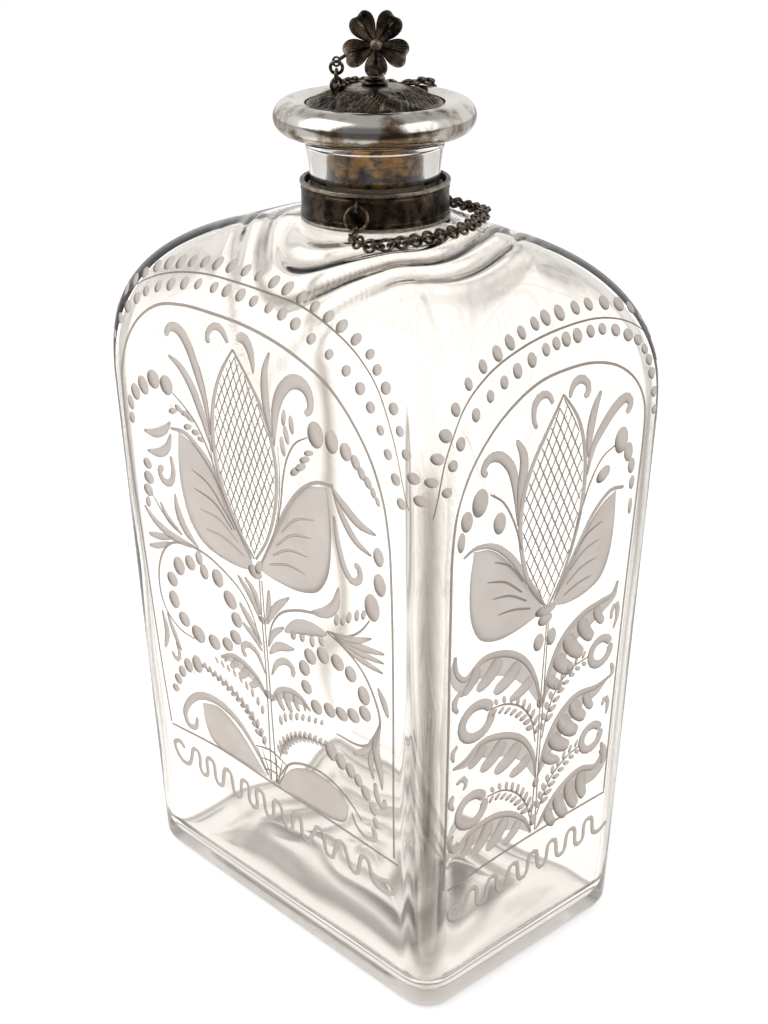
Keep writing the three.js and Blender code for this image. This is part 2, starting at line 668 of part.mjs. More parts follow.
function addChain(lugMiddle) {
  const route = chainRoute(lugMiddle);
  const chain = { route, sides: routeSides(route) };
  const loose = FRONT_LINKS + SHOULDER_LINKS;
  for (let index = 0; index < loose; index += 1) {
    const name = index < FRONT_LINKS ? "front_link" : "shoulder_link";
    const number = index < FRONT_LINKS ? index + 1 : index - FRONT_LINKS + 1;
    const roll = index === 0 ? FIRST_ROLL : linkRoll(index);
    const geometry = linkGeometry(chain, index * LINK_PITCH, roll);
    addPiece(`${name}_${String(number).padStart(2, "0")}`, geometry, tarnishedSilver);
  }
  const hangFrom = loose * LINK_PITCH;
  const hangTo = lengthAtHeight(route, ROLL_MIDDLE - LINK_RADIUS, hangFrom);
  const hang = joinedRun(chain, hangFrom, hangTo, loose);
  addPiece("chain_back_run", hang.geometry, tarnishedSilver);
  const top = joinedRun(chain, hangTo + LINK_PITCH, route.getLength(), hang.nextIndex, true);
  addPiece("chain_top_run", top.geometry, tarnishedSilver);
}

addBottle();
addStapleAndRing();
addStopper();
addStem();
addChain(addFlower());

export default decanter;
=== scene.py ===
import math

import bpy
import numpy as np
from mathutils import Matrix, Vector


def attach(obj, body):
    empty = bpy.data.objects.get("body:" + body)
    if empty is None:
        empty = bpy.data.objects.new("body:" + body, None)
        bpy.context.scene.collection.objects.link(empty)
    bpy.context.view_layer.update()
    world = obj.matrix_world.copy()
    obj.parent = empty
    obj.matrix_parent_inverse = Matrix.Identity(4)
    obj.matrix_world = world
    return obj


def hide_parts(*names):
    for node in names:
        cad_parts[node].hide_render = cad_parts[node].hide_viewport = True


bl_info = {
    "name": "Case decanter",
    "version": (1, 0, 0),
    "blender": (4, 5, 0),
    "location": "View3D > Sidebar > Decanter",
    "description": "Dresses the frame of a glass case decanter with engraved glass and silver mounts",
    "category": "Object",
}

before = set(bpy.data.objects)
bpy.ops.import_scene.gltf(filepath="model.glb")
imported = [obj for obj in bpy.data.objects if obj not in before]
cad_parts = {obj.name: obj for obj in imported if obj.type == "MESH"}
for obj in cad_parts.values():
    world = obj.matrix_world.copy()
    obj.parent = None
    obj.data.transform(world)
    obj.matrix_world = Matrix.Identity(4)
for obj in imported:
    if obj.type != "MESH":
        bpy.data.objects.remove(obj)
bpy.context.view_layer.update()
MM = 0.001

# Shape of the glass, in millimetres, as in the solids but for the inner floor and the step in the mouth
WIDTH, DEPTH, LEAN, EDGE_RADIUS, FOOT_RADIUS = 108.4, 70.4, 0.0308, 8.5, 4.3
WALL, FLOOR, FLOOR_RISE, FLOOR_RADIUS, INNER_EDGE_LEAST = 3.2, 3.0, 6.0, 7.5, 2.5
KICK, KICK_SHARE = 2.4, 0.7
BODY_HEIGHT, SHOULDER_TOP, SHOULDER_WALL = 138.4, 180.2, 4.0
RISE_POWER, REACH_POWER = 2.7, 1.96
NECK_RADIUS, FLARE_START, LIP_RADIUS, LIP_TOP, LIP_ROUND = 14.85, 188.4, 15.9, 198.4, 1.1
BORE_RADIUS, MOUTH_RADIUS, MOUTH_DEPTH = 11.25, 12.6, 1.6
ARC_SPACING, ARC_LIFT, ARC_REACH, ARC_SPREAD = 6.4, 0.6, 28, 7.5
FLOOR_RIDGES = 3.8

# Shape of the mounts, in millimetres
FLOWER_TURN = math.radians(-43)
COLLAR_BOTTOM, COLLAR_TOP, COLLAR_INNER, COLLAR_RADIUS = 180.5, 189.2, 16.2, 17.0
ROLL_CORE, ROLL_MIDDLE, ROLL_THICKNESS, ROLL_HALF_HEIGHT = 18.9, 203.3, 4.1, 3.9
DOME_RADIUS, DOME_FOOT, DOME_BASE, DOME_RISE = 15.5, 204.7, 206.1, 4.2
PLUG_RADIUS, PLUG_INNER, PLUG_BOTTOM, PLUG_TOP = 10.9, 10.1, 189.2, 204.1
PLUG_FILM_HEIGHT, PLUG_FILM_SPREAD = 191.2, 0.8
FLOWER_HEIGHT, FLOWER_FORWARD, FLOWER_SIDEWAYS, FLOWER_TILT = 218.9, 1.95, 0.35, math.radians(8)
FLOWER_REACH, LOW_PETAL_REACH, FLOWER_NARROWING = 8.1, 7.0, 0.93
FLOWER_HALF_THICKNESS, FLOWER_CUP, BEAD_RADIUS, BEAD_RISE = 0.4, 1.4, 1.5, 1.2
LUG_RADIUS, LUG_WIRE, SHANK_WIRE, SHANK_FOOT = 0.95, 0.27, 0.4, (-6.4, -1.9, 1.0)
STAPLE_TURN, STAPLE_WIRE, JUMP_RADIUS, JUMP_WIRE = math.radians(-12.4), 0.36, 2.6, 0.31
LINK_RADIUS, LINK_PITCH, LINK_ROLL, DOME_ROLL = 1.35, 1.8, 45.0, 18.0
CHAIN_LIFT, DOME_LIFT, SETTLE = 1.8, 1.17, 0.45

# Camera of the photograph: its axes to the right, up and back, its place and its lens, in millimetres
CAMERA_AXES = (0.6832, 0.7302, -0.0040), (-0.2935, 0.2796, 0.9141), (0.6686, -0.6234, 0.4054)
CAMERA_PLACE = (279.90, -258.67, 274.63)
FOCAL_LENGTH, SENSOR_WIDTH = 58.993, 36

# How far rubbing has brightened the dark silver, from 0 to 1
COLLAR_RUB, STAPLE_RUB, CHAIN_RUB, STEM_RUB, BEAD_RUB = 0.5, 0.22, 0.2, 0.15, 0.3

# Way of the chain behind the neck, over the roll and across the dome, from the solids' route
ROUTE_BEHIND = [(1.6, 0.133), (0.2, 0.275), (0, 0.46), (0, 0.67), (0, 1)]
ROUTE_ON_DOME = [
    (5.6, -13.2, 1.6), (0.6, -12.8, 1.4), (-4, -9.8, 1.35), (-7, -5, 1.3), (-8.3, 0.2, 1.35), (-8.5, 3, 1.8),
]
ROUTE_CROSSING = 146


def linear(hex_colour):
    """Linear colour of an sRGB hex value, with full alpha."""
    shares = [int(hex_colour[i:i + 2], 16) / 255 for i in (1, 3, 5)]
    return tuple(s / 12.92 if s <= 0.04045 else ((s + 0.055) / 1.055) ** 2.4 for s in shares) + (1.0,)


def length(name, description, default):
    """A length in metres that the panel shows."""
    return bpy.props.FloatProperty(name=name, description=description, default=default, unit="LENGTH", precision=5)


def colour(name, description, hex_colour):
    """A colour that the panel shows."""
    return bpy.props.FloatVectorProperty(
        name=name, description=description, default=linear(hex_colour), size=4, subtype="COLOR", min=0, max=1
    )


class GlassSettings(bpy.types.PropertyGroup):
    """Sizes and colour of the blown glass."""

    inner_wave: length("Inner wave", "Unevenness of the inner walls", 0.0004)
    floor_wave: length("Floor wave", "Height of the ridges on the inner floor", 0.0004)
    tint: colour("Tint", "Colour that light takes on in the glass", "#d4cac2")
    # Painted shade: colour of the dark that refraction would show, painted on edges, foot, shoulder arcs and floor
    # ridges
    thick: colour("Thick", "Colour of thick edges and ridges", "#756c62")
    density: bpy.props.FloatProperty(
        name="Density", description="How strongly thick glass takes on its tint", default=23.0, min=0
    )


class EngravingSettings(bpy.types.PropertyGroup):
    """Sizes and colours of the wheel engraving."""

    lift: length("Lift", "Distance of the ground skin from the polished glass", 0.00003)
    groove: length("Groove", "Depth of the cuts at their middle", 0.00005)
    ground: colour("Ground", "Colour of the flat ground leaves", "#d2c9c3")
    cut: colour("Cut", "Colour of the wider cuts", "#cac0ba")
    shade: colour("Shade", "Colour of the shaded side of a cut and of thin lines", "#675d55")


class SilverSettings(bpy.types.PropertyGroup):
    """Sizes and colours of the silver mounts."""

    link_wire: length("Link wire", "Thickness of the chain's wire", 0.00078)
    relief: length("Relief", "Height of the chasing on the dome", 0.0008)
    tarnish: colour("Tarnish", "Darkest tarnish", "#1e1a18")
    brown: colour("Brown tarnish", "Brown tarnish", "#5c4e42")
    worn: colour("Worn silver", "Silver where it is rubbed", "#b4a898")
    bright: colour("Bright silver", "Polished silver", "#d0cbc5")
    gilding: colour("Gilding", "Worn gilding of the plug", "#8f6729")


class StageSettings(bpy.types.PropertyGroup):
    """Light and floor of the studio."""

    floor: colour("Floor", "Colour of the floor", "#f4f3f1")
    sky: bpy.props.FloatProperty(name="Sky", description="Strength of the soft light all round", default=0.5, min=0)
    key: bpy.props.FloatProperty(
        name="Key", description="Power of the large soft lamp", default=7.0, min=0, subtype="POWER", unit="POWER"
    )
    fill: bpy.props.FloatProperty(
        name="Fill",
        description="Power of the lamp on the other side",
        default=4.0,
        min=0,
        subtype="POWER",
        unit="POWER",
    )


# Surfaces


def grid_faces(rows, columns, wrap_rows=False, wrap_columns=False):
    """Corner numbers of a grid's quads: each point with its next column, next row and the one across."""
    i, j = np.meshgrid(
        np.arange(rows if wrap_rows else rows - 1), np.arange(columns if wrap_columns else columns - 1), indexing="ij"
    )
    k, n = (i + 1) % rows, (j + 1) % columns
    return np.stack([i * columns + j, i * columns + n, k * columns + n, k * columns + j], -1).reshape(-1, 4)


def add_piece(name, points, faces, material, body, nodes=(), marks=None):
    """Puts points, in millimetres, and quads into a mesh that rides a body and replaces CAD nodes.

    Points that coincide are welded, so seams and poles close. marks is a number for the whole piece, or a row of one
    to three for each point.
    """
    flat = points.reshape(-1, 3)
    _, first, inverse = np.unique(np.round(flat, 5), axis=0, return_index=True, return_inverse=True)
    corners = inverse.reshape(-1)[faces]
    same = corners == np.roll(corners, -1, axis=1)
    quads = corners[same.sum(1) == 0]
    threes = corners[same.sum(1) == 1]
    keep = np.argsort(same[same.sum(1) == 1], axis=1, kind="stable")[:, :3]
    threes = np.take_along_axis(threes, np.sort(keep, axis=1), axis=1)
    mesh = bpy.data.meshes.new(name)
    mesh.from_pydata((flat[first] * MM).tolist(), [], quads.tolist() + threes.tolist())
    mesh.polygons.foreach_set("use_smooth", np.ones(len(mesh.polygons), bool))
    if marks is not None:
        values = np.zeros((len(first), 3), np.float32)
        if np.ndim(marks):
            values[:, : marks.shape[-1]] = marks.reshape(len(flat), -1)[first]
        else:
            values[:, 0] = marks
        layer = mesh.attributes.new("mark", "FLOAT_VECTOR", "POINT")
        layer.data.foreach_set("vector", values.reshape(-1))
    mesh.materials.append(material)
    piece = bpy.data.objects.new(name, mesh)
    bpy.context.scene.collection.objects.link(piece)
    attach(piece, body)
    if nodes:
        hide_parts(*nodes)


def spline(points, count):
    """Points at equal steps along a centripetal Catmull-Rom curve through the given points."""
    points = np.asarray(points, float)
    ends = np.vstack([2 * points[0] - points[1], points, 2 * points[-1] - points[-2]])
    knots = np.concatenate([[0], np.cumsum(np.maximum(np.linalg.norm(np.diff(ends, axis=0), axis=1), 1e-6) ** 0.5)])
    t = np.linspace(knots[1], knots[-2], 40 * len(points))
    i = np.clip(np.searchsorted(knots, t, side="right") - 1, 1, len(ends) - 3)
    k0, k1, k2, k3 = (knots[i + d][:, None] for d in (-1, 0, 1, 2))
    p0, p1, p2, p3 = (ends[i + d] for d in (-1, 0, 1, 2))
    t = t[:, None]
    a1 = p0 * (k1 - t) / (k1 - k0) + p1 * (t - k0) / (k1 - k0)
    a2 = p1 * (k2 - t) / (k2 - k1) + p2 * (t - k1) / (k2 - k1)
    a3 = p2 * (k3 - t) / (k3 - k2) + p3 * (t - k2) / (k3 - k2)
    b1 = a1 * (k2 - t) / (k2 - k0) + a2 * (t - k0) / (k2 - k0)
    b2 = a2 * (k3 - t) / (k3 - k1) + a3 * (t - k1) / (k3 - k1)
    curve = b1 * (k2 - t) / (k2 - k1) + b2 * (t - k1) / (k2 - k1)
    run = np.concatenate([[0], np.cumsum(np.linalg.norm(np.diff(curve, axis=0), axis=1))])
    steps = np.linspace(0, run[-1], count)
    return np.stack([np.interp(steps, run, column) for column in curve.T], 1)


def eased(profile, radius, closed=True):
    """A profile of radius and height whose corners are rounded by short curves."""
    corners = np.asarray(profile, float)
    before, after = np.roll(corners, 1, 0), np.roll(corners, -1, 0)
    share = np.linspace(0, 1, 7)[:, None]
    out = []
    for here, last, following in zip(corners, before, after):
        back, ahead = last - here, following - here
        reach = min(radius, 0.45 * np.linalg.norm(back), 0.45 * np.linalg.norm(ahead))
        start = here + back / np.linalg.norm(back) * reach
        end = here + ahead / np.linalg.norm(ahead) * reach
        out.append((1 - share) ** 2 * start + 2 * share * (1 - share) * here + share**2 * end)
    if not closed:
        out[0], out[-1] = corners[:1], corners[-1:]
    return np.concatenate(out)


def turned(profile, steps):
    """A profile of radius and height turned about Z: x = r cos a, y = r sin a."""
    angle = np.arange(steps) / steps * 2 * np.pi
    radius, height = np.asarray(profile, float).T[:, :, None]
    return np.stack(np.broadcast_arrays(radius * np.cos(angle), radius * np.sin(angle), height), -1)


def tube(path, radius, sides):
    """A round section carried along a path and closed at both ends, with its faces.

    Its first side vector is the part of one fixed direction that is square to the path.
    """
    along = np.gradient(path, axis=0)
    along /= np.linalg.norm(along, axis=1)[:, None]
    seed = np.array([0.3, 0.2, 0.9])
    side = seed - (along @ seed)[:, None] * along
    side /= np.linalg.norm(side, axis=1)[:, None]
    angle = np.arange(sides) / sides * 2 * np.pi
    ring = side[:, None] * np.cos(angle)[:, None] + np.cross(along, side)[:, None] * np.sin(angle)[:, None]
    first, last = (np.broadcast_to(path[i], (1, sides, 3)) for i in (0, -1))
    points = np.concatenate([first, path[:, None] + ring * radius, last])
    return points, grid_faces(*points.shape[:2], False, True)[:, ::-1]


def waves(points, seed, longest):
    """Smooth unevenness between about -1 and 1: a sum of sine waves in fixed directions."""
    rng = np.random.default_rng(seed)
    directions = rng.normal(size=(7, 3))
    directions /= np.linalg.norm(directions, axis=1)[:, None]
    turns = 2 * np.pi / (longest * np.linspace(1, 0.42, 7))
    return np.sin(points @ (directions * turns[:, None]).T + rng.uniform(0, 6.28, 7)).sum(-1) / 3.2


# Glass shape


def rectangle_reach(angle, half_width, half_depth, corner):
    """Distance from the axis to a rounded rectangle in a polar direction."""
    c, s = np.abs(np.cos(angle)), np.abs(np.sin(angle))
    inside_x, inside_y = half_width - corner, half_depth - corner
    along = inside_x * c + inside_y * s
    reach = along + np.sqrt(np.maximum(along**2 - inside_x**2 - inside_y**2 + corner**2, 0))
    on_depth = half_depth * c <= inside_x * s
    on_width = half_width * s <= inside_y * c
    reach = np.where(on_depth, half_depth / np.maximum(s, 1e-9), reach)
    return np.where(on_width, half_width / np.maximum(c, 1e-9), reach)


def body_reach(angle, height, inset):
    """Reach of the leaning walls, moved inwards by an inset."""
    grow = LEAN * height - inset
    corner = np.maximum(EDGE_RADIUS - inset, INNER_EDGE_LEAST)
    return rectangle_reach(angle, WIDTH / 2 + grow, DEPTH / 2 + grow, corner)


def glass_directions():
    """Polar directions round the glass, close together at the corners."""
    half_width, half_depth = WIDTH / 2 + LEAN * BODY_HEIGHT, DEPTH / 2 + LEAN * BODY_HEIGHT
    turn = np.linspace(0, np.pi / 2, 23)
    x = half_width - EDGE_RADIUS * (1 - np.cos(turn))
    y = half_depth - EDGE_RADIUS * (1 - np.sin(turn))
    corner = np.arctan2(y, x)
    quarter = np.concatenate(
        [
            np.arctan2(np.linspace(0, y[0], 15)[:-1], half_width),
            corner,
            np.arctan2(half_depth, np.linspace(x[-1], 0, 22)[1:]),
        ]
    )
    half = np.concatenate([quarter, np.pi - quarter[-2:0:-1]])
    return np.concatenate([half, half + np.pi])


def shoulder_grid(angle, phase, inset, neck, top):
    """Reach and height of the shoulder: the wall's outline shrinks to a circle on a superelliptic curve."""
    share = np.cos(phase) ** (2 / REACH_POWER)
    rise = np.sin(phase) ** (2 / RISE_POWER)
    wall = body_reach(angle, BODY_HEIGHT, inset)
    return neck + (wall - neck) * share[:, None], BODY_HEIGHT + (top - BODY_HEIGHT) * rise


def glass_rows(angle):
    """Reach, height, share of inner wave and share of base for every row, from under the base to the inner floor."""
    rows = []

    def add(reach, height, wave=0.0, base=0.0):
        reach = np.broadcast_to(reach, (len(height), len(angle)))
        rows.append((reach, height, np.broadcast_to(wave, len(height)), np.broadcast_to(base, len(height))))

    share = np.linspace(0, KICK_SHARE, 12)
    base = body_reach(angle, 0, FOOT_RADIUS)
    add(share[:, None] * base, KICK * (1 - (share / KICK_SHARE) ** 2), base=0.1)
    share = np.linspace(KICK_SHARE, 1, 6)[1:-1]
    add(share[:, None] * base, 0 * share, base=0.5)
    turn = np.linspace(0, np.pi / 2, 12)
    height = FOOT_RADIUS * (1 - np.cos(turn))
    inset = FOOT_RADIUS * (1 - np.sin(turn))
    add(body_reach(angle, height[:, None], inset[:, None]), height, base=0.35 * np.clip(1.2 - height / 1.5, 0, 1))
    height = np.linspace(FOOT_RADIUS, BODY_HEIGHT, 34)[1:-1]
    add(body_reach(angle, height[:, None], 0), height)
    phase = np.linspace(0, np.pi / 2, 44)
    add(*shoulder_grid(angle, phase, 0, NECK_RADIUS, SHOULDER_TOP))
    height = np.linspace(SHOULDER_TOP + 0.8, LIP_TOP - LIP_ROUND, 16)
    flare = np.clip((height - FLARE_START) / (LIP_TOP - LIP_ROUND - FLARE_START), 0, 1)
    add((NECK_RADIUS + (LIP_RADIUS - NECK_RADIUS) * flare**1.5)[:, None], height)
    turn = np.linspace(0, np.pi / 2, 9)[1:]
    add((LIP_RADIUS - LIP_ROUND * (1 - np.cos(turn)))[:, None], LIP_TOP - LIP_ROUND * (1 - np.sin(turn)))
    mouth = eased(
        [
            (MOUTH_RADIUS + 1.2, LIP_TOP),
            (MOUTH_RADIUS, LIP_TOP - 0.25),
            (MOUTH_RADIUS, LIP_TOP - MOUTH_DEPTH + 0.2),
            (BORE_RADIUS, LIP_TOP - MOUTH_DEPTH),
            (BORE_RADIUS, SHOULDER_TOP - 2),
        ],
        0.8,
        closed=False,
    )
    add(mouth[:, :1], mouth[:, 1])
    phase = np.linspace(np.pi / 2, 0, 100)
    reach, height = shoulder_grid(angle, phase, WALL, BORE_RADIUS, SHOULDER_TOP - SHOULDER_WALL)
    add(reach, height, np.linspace(0, 1.5, 100) ** 0.8)
    height = np.linspace(BODY_HEIGHT, FLOOR + FLOOR_RADIUS, 44)[1:]
    add(body_reach(angle, height[:, None], WALL), height, 1.0)
    turn = np.linspace(0, np.pi / 2, 14)[1:]
    height = FLOOR + FLOOR_RADIUS * (1 - np.sin(turn))
    inset = WALL + FLOOR_RADIUS * (1 - np.cos(turn))
    add(body_reach(angle, height[:, None], inset[:, None]), height, np.linspace(1, 0.2, 13))
    share = np.linspace(1, 0, 32)[1:]
    floor = body_reach(angle, FLOOR, WALL + FLOOR_RADIUS)
    add(share[:, None] * floor, FLOOR + FLOOR_RISE * (1 - share**2))
    reach, height, wave, base = (np.concatenate(parts) for parts in zip(*rows))
    return reach, height, wave, base, len(share)


def corner_share(points):
    """How far each place lies towards the middle of a rounded edge: 2 |nx ny| of the outline's normal."""
    along = np.roll(points, -1, 1) - np.roll(points, 1, 1)
    along = along[..., :2] / np.maximum(np.linalg.norm(along[..., :2], axis=-1), 1e-9)[..., None]
    return 2 * np.abs(along[..., 0] * along[..., 1])


def glass_points(settings):
    """Grid of the whole bottle and its marks: X where it rests on the paper, Y where the shade of refraction is
    painted.

    The inner walls wave inwards, the inner shoulder carries arcs about the neck and the inner floor oval ridges.
    """
    angle = glass_directions()
    reach, height, wave, base, floor_rows = glass_rows(angle)
    points = np.stack(np.broadcast_arrays(reach * np.cos(angle), reach * np.sin(angle), height[:, None]), -1).copy()
    walls = np.clip((BODY_HEIGHT + 12 - height) / 14, 0, 1) * np.clip((height - FLOOR) / 40, 0, 1) ** 0.5
    inside = wave > 0
    corner = corner_share(points)
    # Painted shade of refraction: bands down the rounded edges, weaker on the inner walls, and a dark line round the
    # foot
    thick = (0.42 * corner**1.2 + 0.3 * corner**8) * (walls * np.where(inside, 0.4, 1.0))[:, None]
    thick += (0.85 * np.exp(-(((height - 0.5) / 0.5) ** 2)) * (base > 0) * (height > 0.01))[:, None]

    arch = np.sin(2 * np.pi * reach / ARC_SPACING + 2.2 * np.sin(2 * angle + 0.9) + 0.8 * np.sin(5 * angle))
    near = np.exp(-(((reach - ARC_REACH) / ARC_SPREAD) ** 2)) * ((height > BODY_HEIGHT + 4) & inside)[:, None]
    near = near * (0.55 + 0.45 * np.exp(2.5 * (np.cos(angle - FLOWER_TURN + 0.15) - 1)))
    points[..., 2] -= ARC_LIFT * near * arch
    # Painted shade of refraction where the shoulder's arcs rise
    thick += near * np.clip(1.5 * arch - 0.45, 0, 1)

    push = settings.inner_wave / MM * wave[:, None] * waves(points, 4, 60)
    points[..., 0] += push * np.cos(angle)
    points[..., 1] += push * np.sin(angle)

    floor = points[-floor_rows:]
    share = np.linspace(1, 0, floor_rows + 1)[1:, None]
    drift = 0.16 * np.sin(2 * angle + 0.7) + 0.1 * np.sin(5 * angle) + 0.3 * waves(floor, 12, 55)
    ridge = np.sin(2 * np.pi * (FLOOR_RIDGES * share + drift))
    ridge = ridge * np.sin(np.pi * share) ** 0.6 + 0.9 * waves(floor, 9, 42) * np.sin(np.pi * share)
    floor[..., 2] += settings.floor_wave / MM * ridge
    even = np.sin(np.pi * share) ** 0.3 * (1 - 0.7 * corner[-floor_rows:])
    # Painted shade of refraction along the inner floor's ridges, fainter towards its corners
    thick[-floor_rows:] = np.clip(0.26 + 0.5 * ridge, 0, 1) * even
    return points, np.stack([np.broadcast_to(base[:, None], thick.shape), thick], -1)


def on_glass(side, across, height):
    """Points of the outer glass: side 0 is the front, 1 the right, 2 the back and 3 the left.

    Across runs to the right as one looks at the face. At each height the outline is a rounded rectangle or its
    blend with the neck's circle, and the polar angle whose point lies at that distance across is halved in on.
    """
    wide = side % 2 == 0
    grow = LEAN * np.minimum(height, BODY_HEIGHT)
    half_across = (WIDTH if wide else DEPTH) / 2 + grow
    half_out = (DEPTH if wide else WIDTH) / 2 + grow
    rise = np.clip((height - BODY_HEIGHT) / (SHOULDER_TOP - BODY_HEIGHT), 0, 1) ** (RISE_POWER / 2)
    share = np.sqrt(1 - rise**2) ** (2 / REACH_POWER)

    def reach(turn):
        wall = rectangle_reach(np.pi / 2 - turn, half_across, half_out, EDGE_RADIUS)
        return NECK_RADIUS + (wall - NECK_RADIUS) * share

    low, high = np.full(across.shape, -1.45), np.full(across.shape, 1.45)
    for _ in range(34):
        middle = (low + high) / 2
        short = reach(middle) * np.sin(middle) < across
        low, high = np.where(short, middle, low), np.where(short, high, middle)
    out = reach(low) * np.cos(low)
    facing = math.radians(-90 + 90 * side)
    c, s = math.cos(facing), math.sin(facing)
    return np.stack([out * c - across * s, out * s + across * c, height], -1)


# Engraving, drawn flat: across to the right and up from the floor, in millimetres
# A cut is three half widths, at its start, middle and end, and then the points that it runs through
# A dot is its middle, two half lengths and the turn of the first one in degrees
# A scrolled leaf is its number of lobes, the side that they hang on, their reach, and the points of its spine
# A fern is its number of leaflets, the side that they grow on, their half lengths, and the points of its stalk

WIDE_BORDER = [
    (0.3, 0.35, 0.3, -41.6, 42.2, -43.9, 62, -46.6, 92, -48.5, 112, -49.5, 132, -48.8, 141, -46.6, 148, -42.3, 154.5,
     -36, 158.9, -27.3, 160.8, -14.8, 161.4, -2.3, 161.2, 9, 159.9, 19, 157.6, 26.5, 154.9, 34, 150, 40.3, 143.3,
     44, 135.8, 45.9, 125.8, 46.3, 112, 45.9, 87, 45, 59.5, 44.6, 43),
    (0.3, 0.4, 0.3, -41.6, 41.9, -20.4, 43.5, 0.3, 43, 22, 42.6, 45.9, 41.8),
    (0.1, 0.22, 0.1, -55.5, 151, -50, 158, -44, 162.6, -36, 166, -24, 168.3, -10, 169, 4, 168.9, 12, 168.5, 24, 166,
     34, 162.4, 41.5, 157.4, 47.8, 148, 52, 134.5),
]
WIDE_OUTER_DOTS = [
    (-55.4, 151.8), (-52.7, 156.2), (-49.5, 159.8), (-46.5, 162.6), (-43.5, 164.8), (-40, 166.8), (-36.3, 168.2),
    (-32.3, 169.1), (-28.4, 170), (-24, 170.6), (-19.4, 171.1), (-14.4, 171.5), (-9, 171.6), (-4, 171.5), (1.4, 171.2),
    (6.3, 170.8), (11.5, 170), (16.3, 169.1), (21.3, 168.1), (26, 167.1), (31.2, 165.6), (36.4, 163.8), (39.6, 161.4),
    (43.2, 158.6), (46.4, 155.2), (49, 151.2), (51.2, 146.8), (53, 142), (54.4, 137.2),
]
WIDE_INNER_DOTS = [
    (-52.2, 148.4), (-49.6, 153), (-47, 156.3), (-44, 158.9), (-41, 161.1), (-37, 162.9), (-32.6, 164.3),
    (-27.8, 165.4), (-22.9, 166.2), (-17, 166.6), (-12.4, 166.8), (-7.3, 166.9), (-2.4, 166.6), (3.1, 166.3),
    (7.8, 165.9), (12.6, 164.9), (18.6, 163.1), (25, 161.3), (31, 159.3), (36, 156.8), (39.8, 153.8), (43.4, 149.9),
    (46, 145.4), (48.4, 140.6), (50, 135.6),
]
WIDE_PEAKS = [-31.6, -25.4, -18.1, -11, -5, 1.9, 9.4, 17.8, 25.9, 34.3]
WIDE_TROUGHS = [-28.5, -22, -14.5, -8, -1.5, 5.9, 12.8, 21.5, 30.3]
WIDE_WAVE = (31.6, 38.2, [-36.6, 36.2, -38.4, 37.6, -40.9, 36.4, -40.4, 33.9, -37.9, 31.7, -35, 32.2],
             [36.3, 35.4, 36.9, 33.2, 38.6, 31.9, 42.4, 32, 44.3, 33.6, 42.8, 35.1, 39.6, 34.5])

WIDE_LENS = (
    [-6, 155, -9.6, 148.6, -12.2, 140.8, -13.1, 130.5, -10.8, 120, -6, 111.4, -0.6, 105.4],
    [-6, 155, -0.6, 150.2, 5.3, 143, 8.6, 132.5, 7.8, 122, 4.3, 112.4, -0.6, 105.4],
)
WIDE_TULIP = [
    (0.3, 0.75, 0.35, -6, 155.4, -10, 148.6, -12.7, 140.8, -13.6, 130.5, -11.2, 119.8, -6.3, 111.2, -0.8, 105),
    (0.3, 0.6, 0.35, -6, 155.4, -0.3, 150.4, 5.8, 143.1, 9.1, 132.5, 8.2, 121.8, 4.6, 112.2, -0.4, 105),
    (0.1, 0.16, 0.1, -14.6, 138, -15, 130, -12.6, 119, -8, 110.4),
    (0.1, 0.16, 0.1, 10.2, 137, 10.3, 129, 8.8, 119.6, 5.6, 111),
    (0.5, 0.9, 0.7, -7.9, 156.4, -10.4, 158.5, -12.9, 159.1, -15, 158, -15.6, 156, -14.4, 155),
    (0.9, 1.25, 0.2, -5.4, 158.1, -2.9, 158.6, -0.4, 157, 1.3, 153.9, 1.8, 151.6),
    (0.3, 1.35, 0.15, 6.5, 157.6, 5.6, 153.3, 6.5, 145.8, 8.4, 138.3),
    (0.2, 1.7, 0.7, 9, 136.5, 9.9, 145.8, 11.6, 150.1, 14.6, 153, 18.4, 153.3, 20.9, 151.4, 21.3, 148.5, 19.6, 147),
    (0.2, 1.35, 0.9, -14.4, 132.5, -15.8, 140.8, -18.5, 147, -22.3, 152.6, -26.6, 155.4, -30, 155.1, -31, 152.8),
    (0.15, 0.2, 0.1, -14.2, 134.6, -14.9, 140.8, -17.1, 147.4, -20.8, 152.4),
    (0.2, 1.4, 0.35, -14.1, 128.3, -17.3, 137, -21, 143.3, -25.4, 147, -29.8, 148.5),
    (0.15, 0.3, 0.2, -29.1, 139.8, -24.8, 137.6, -19.8, 133.9, -15.4, 127.6, -12.6, 121.5),
    (0.15, 0.3, 0.2, 20.6, 142, 16.5, 139.5, 13.4, 135.1, 11.5, 129.5, 10.3, 123.3, 8.4, 116.6),
    (0.3, 0.95, 0.4, -30.6, 129.9, -24.8, 130.3, -18.5, 127, -12.9, 121.8, -8, 113.8, -2, 104.6),
    (0.4, 0.5, 0.3, 28.6, 133, 22.8, 132, 17.3, 128.4, 12.1, 122.4, 6.5, 113, 1.4, 104.4),
    (0.1, 0.32, 0.2, -23.4, 121.4, -16.8, 119.4, -10.6, 113.6, -7.4, 110.2),
    (0.1, 0.32, 0.2, -22.9, 116.6, -14.8, 115, -8.6, 109.9),
    (0.1, 0.32, 0.2, -21.2, 111.6, -13.5, 111.2, -6.6, 107.4),
    (0.1, 0.32, 0.2, -19.4, 106.8, -12.4, 106.9, -4.6, 104.5),
    (0.1, 0.3, 0.2, 22, 122.6, 15.3, 120.6, 9.6, 115.4),
    (0.1, 0.3, 0.2, 20.3, 117.6, 13.4, 116, 7.6, 111.4),
    (0.1, 0.3, 0.2, 19, 112.4, 12.1, 111.8, 6, 108.4),
    (0.1, 0.3, 0.2, 17.8, 107.6, 11.5, 107.8, 4.6, 105.6),
]
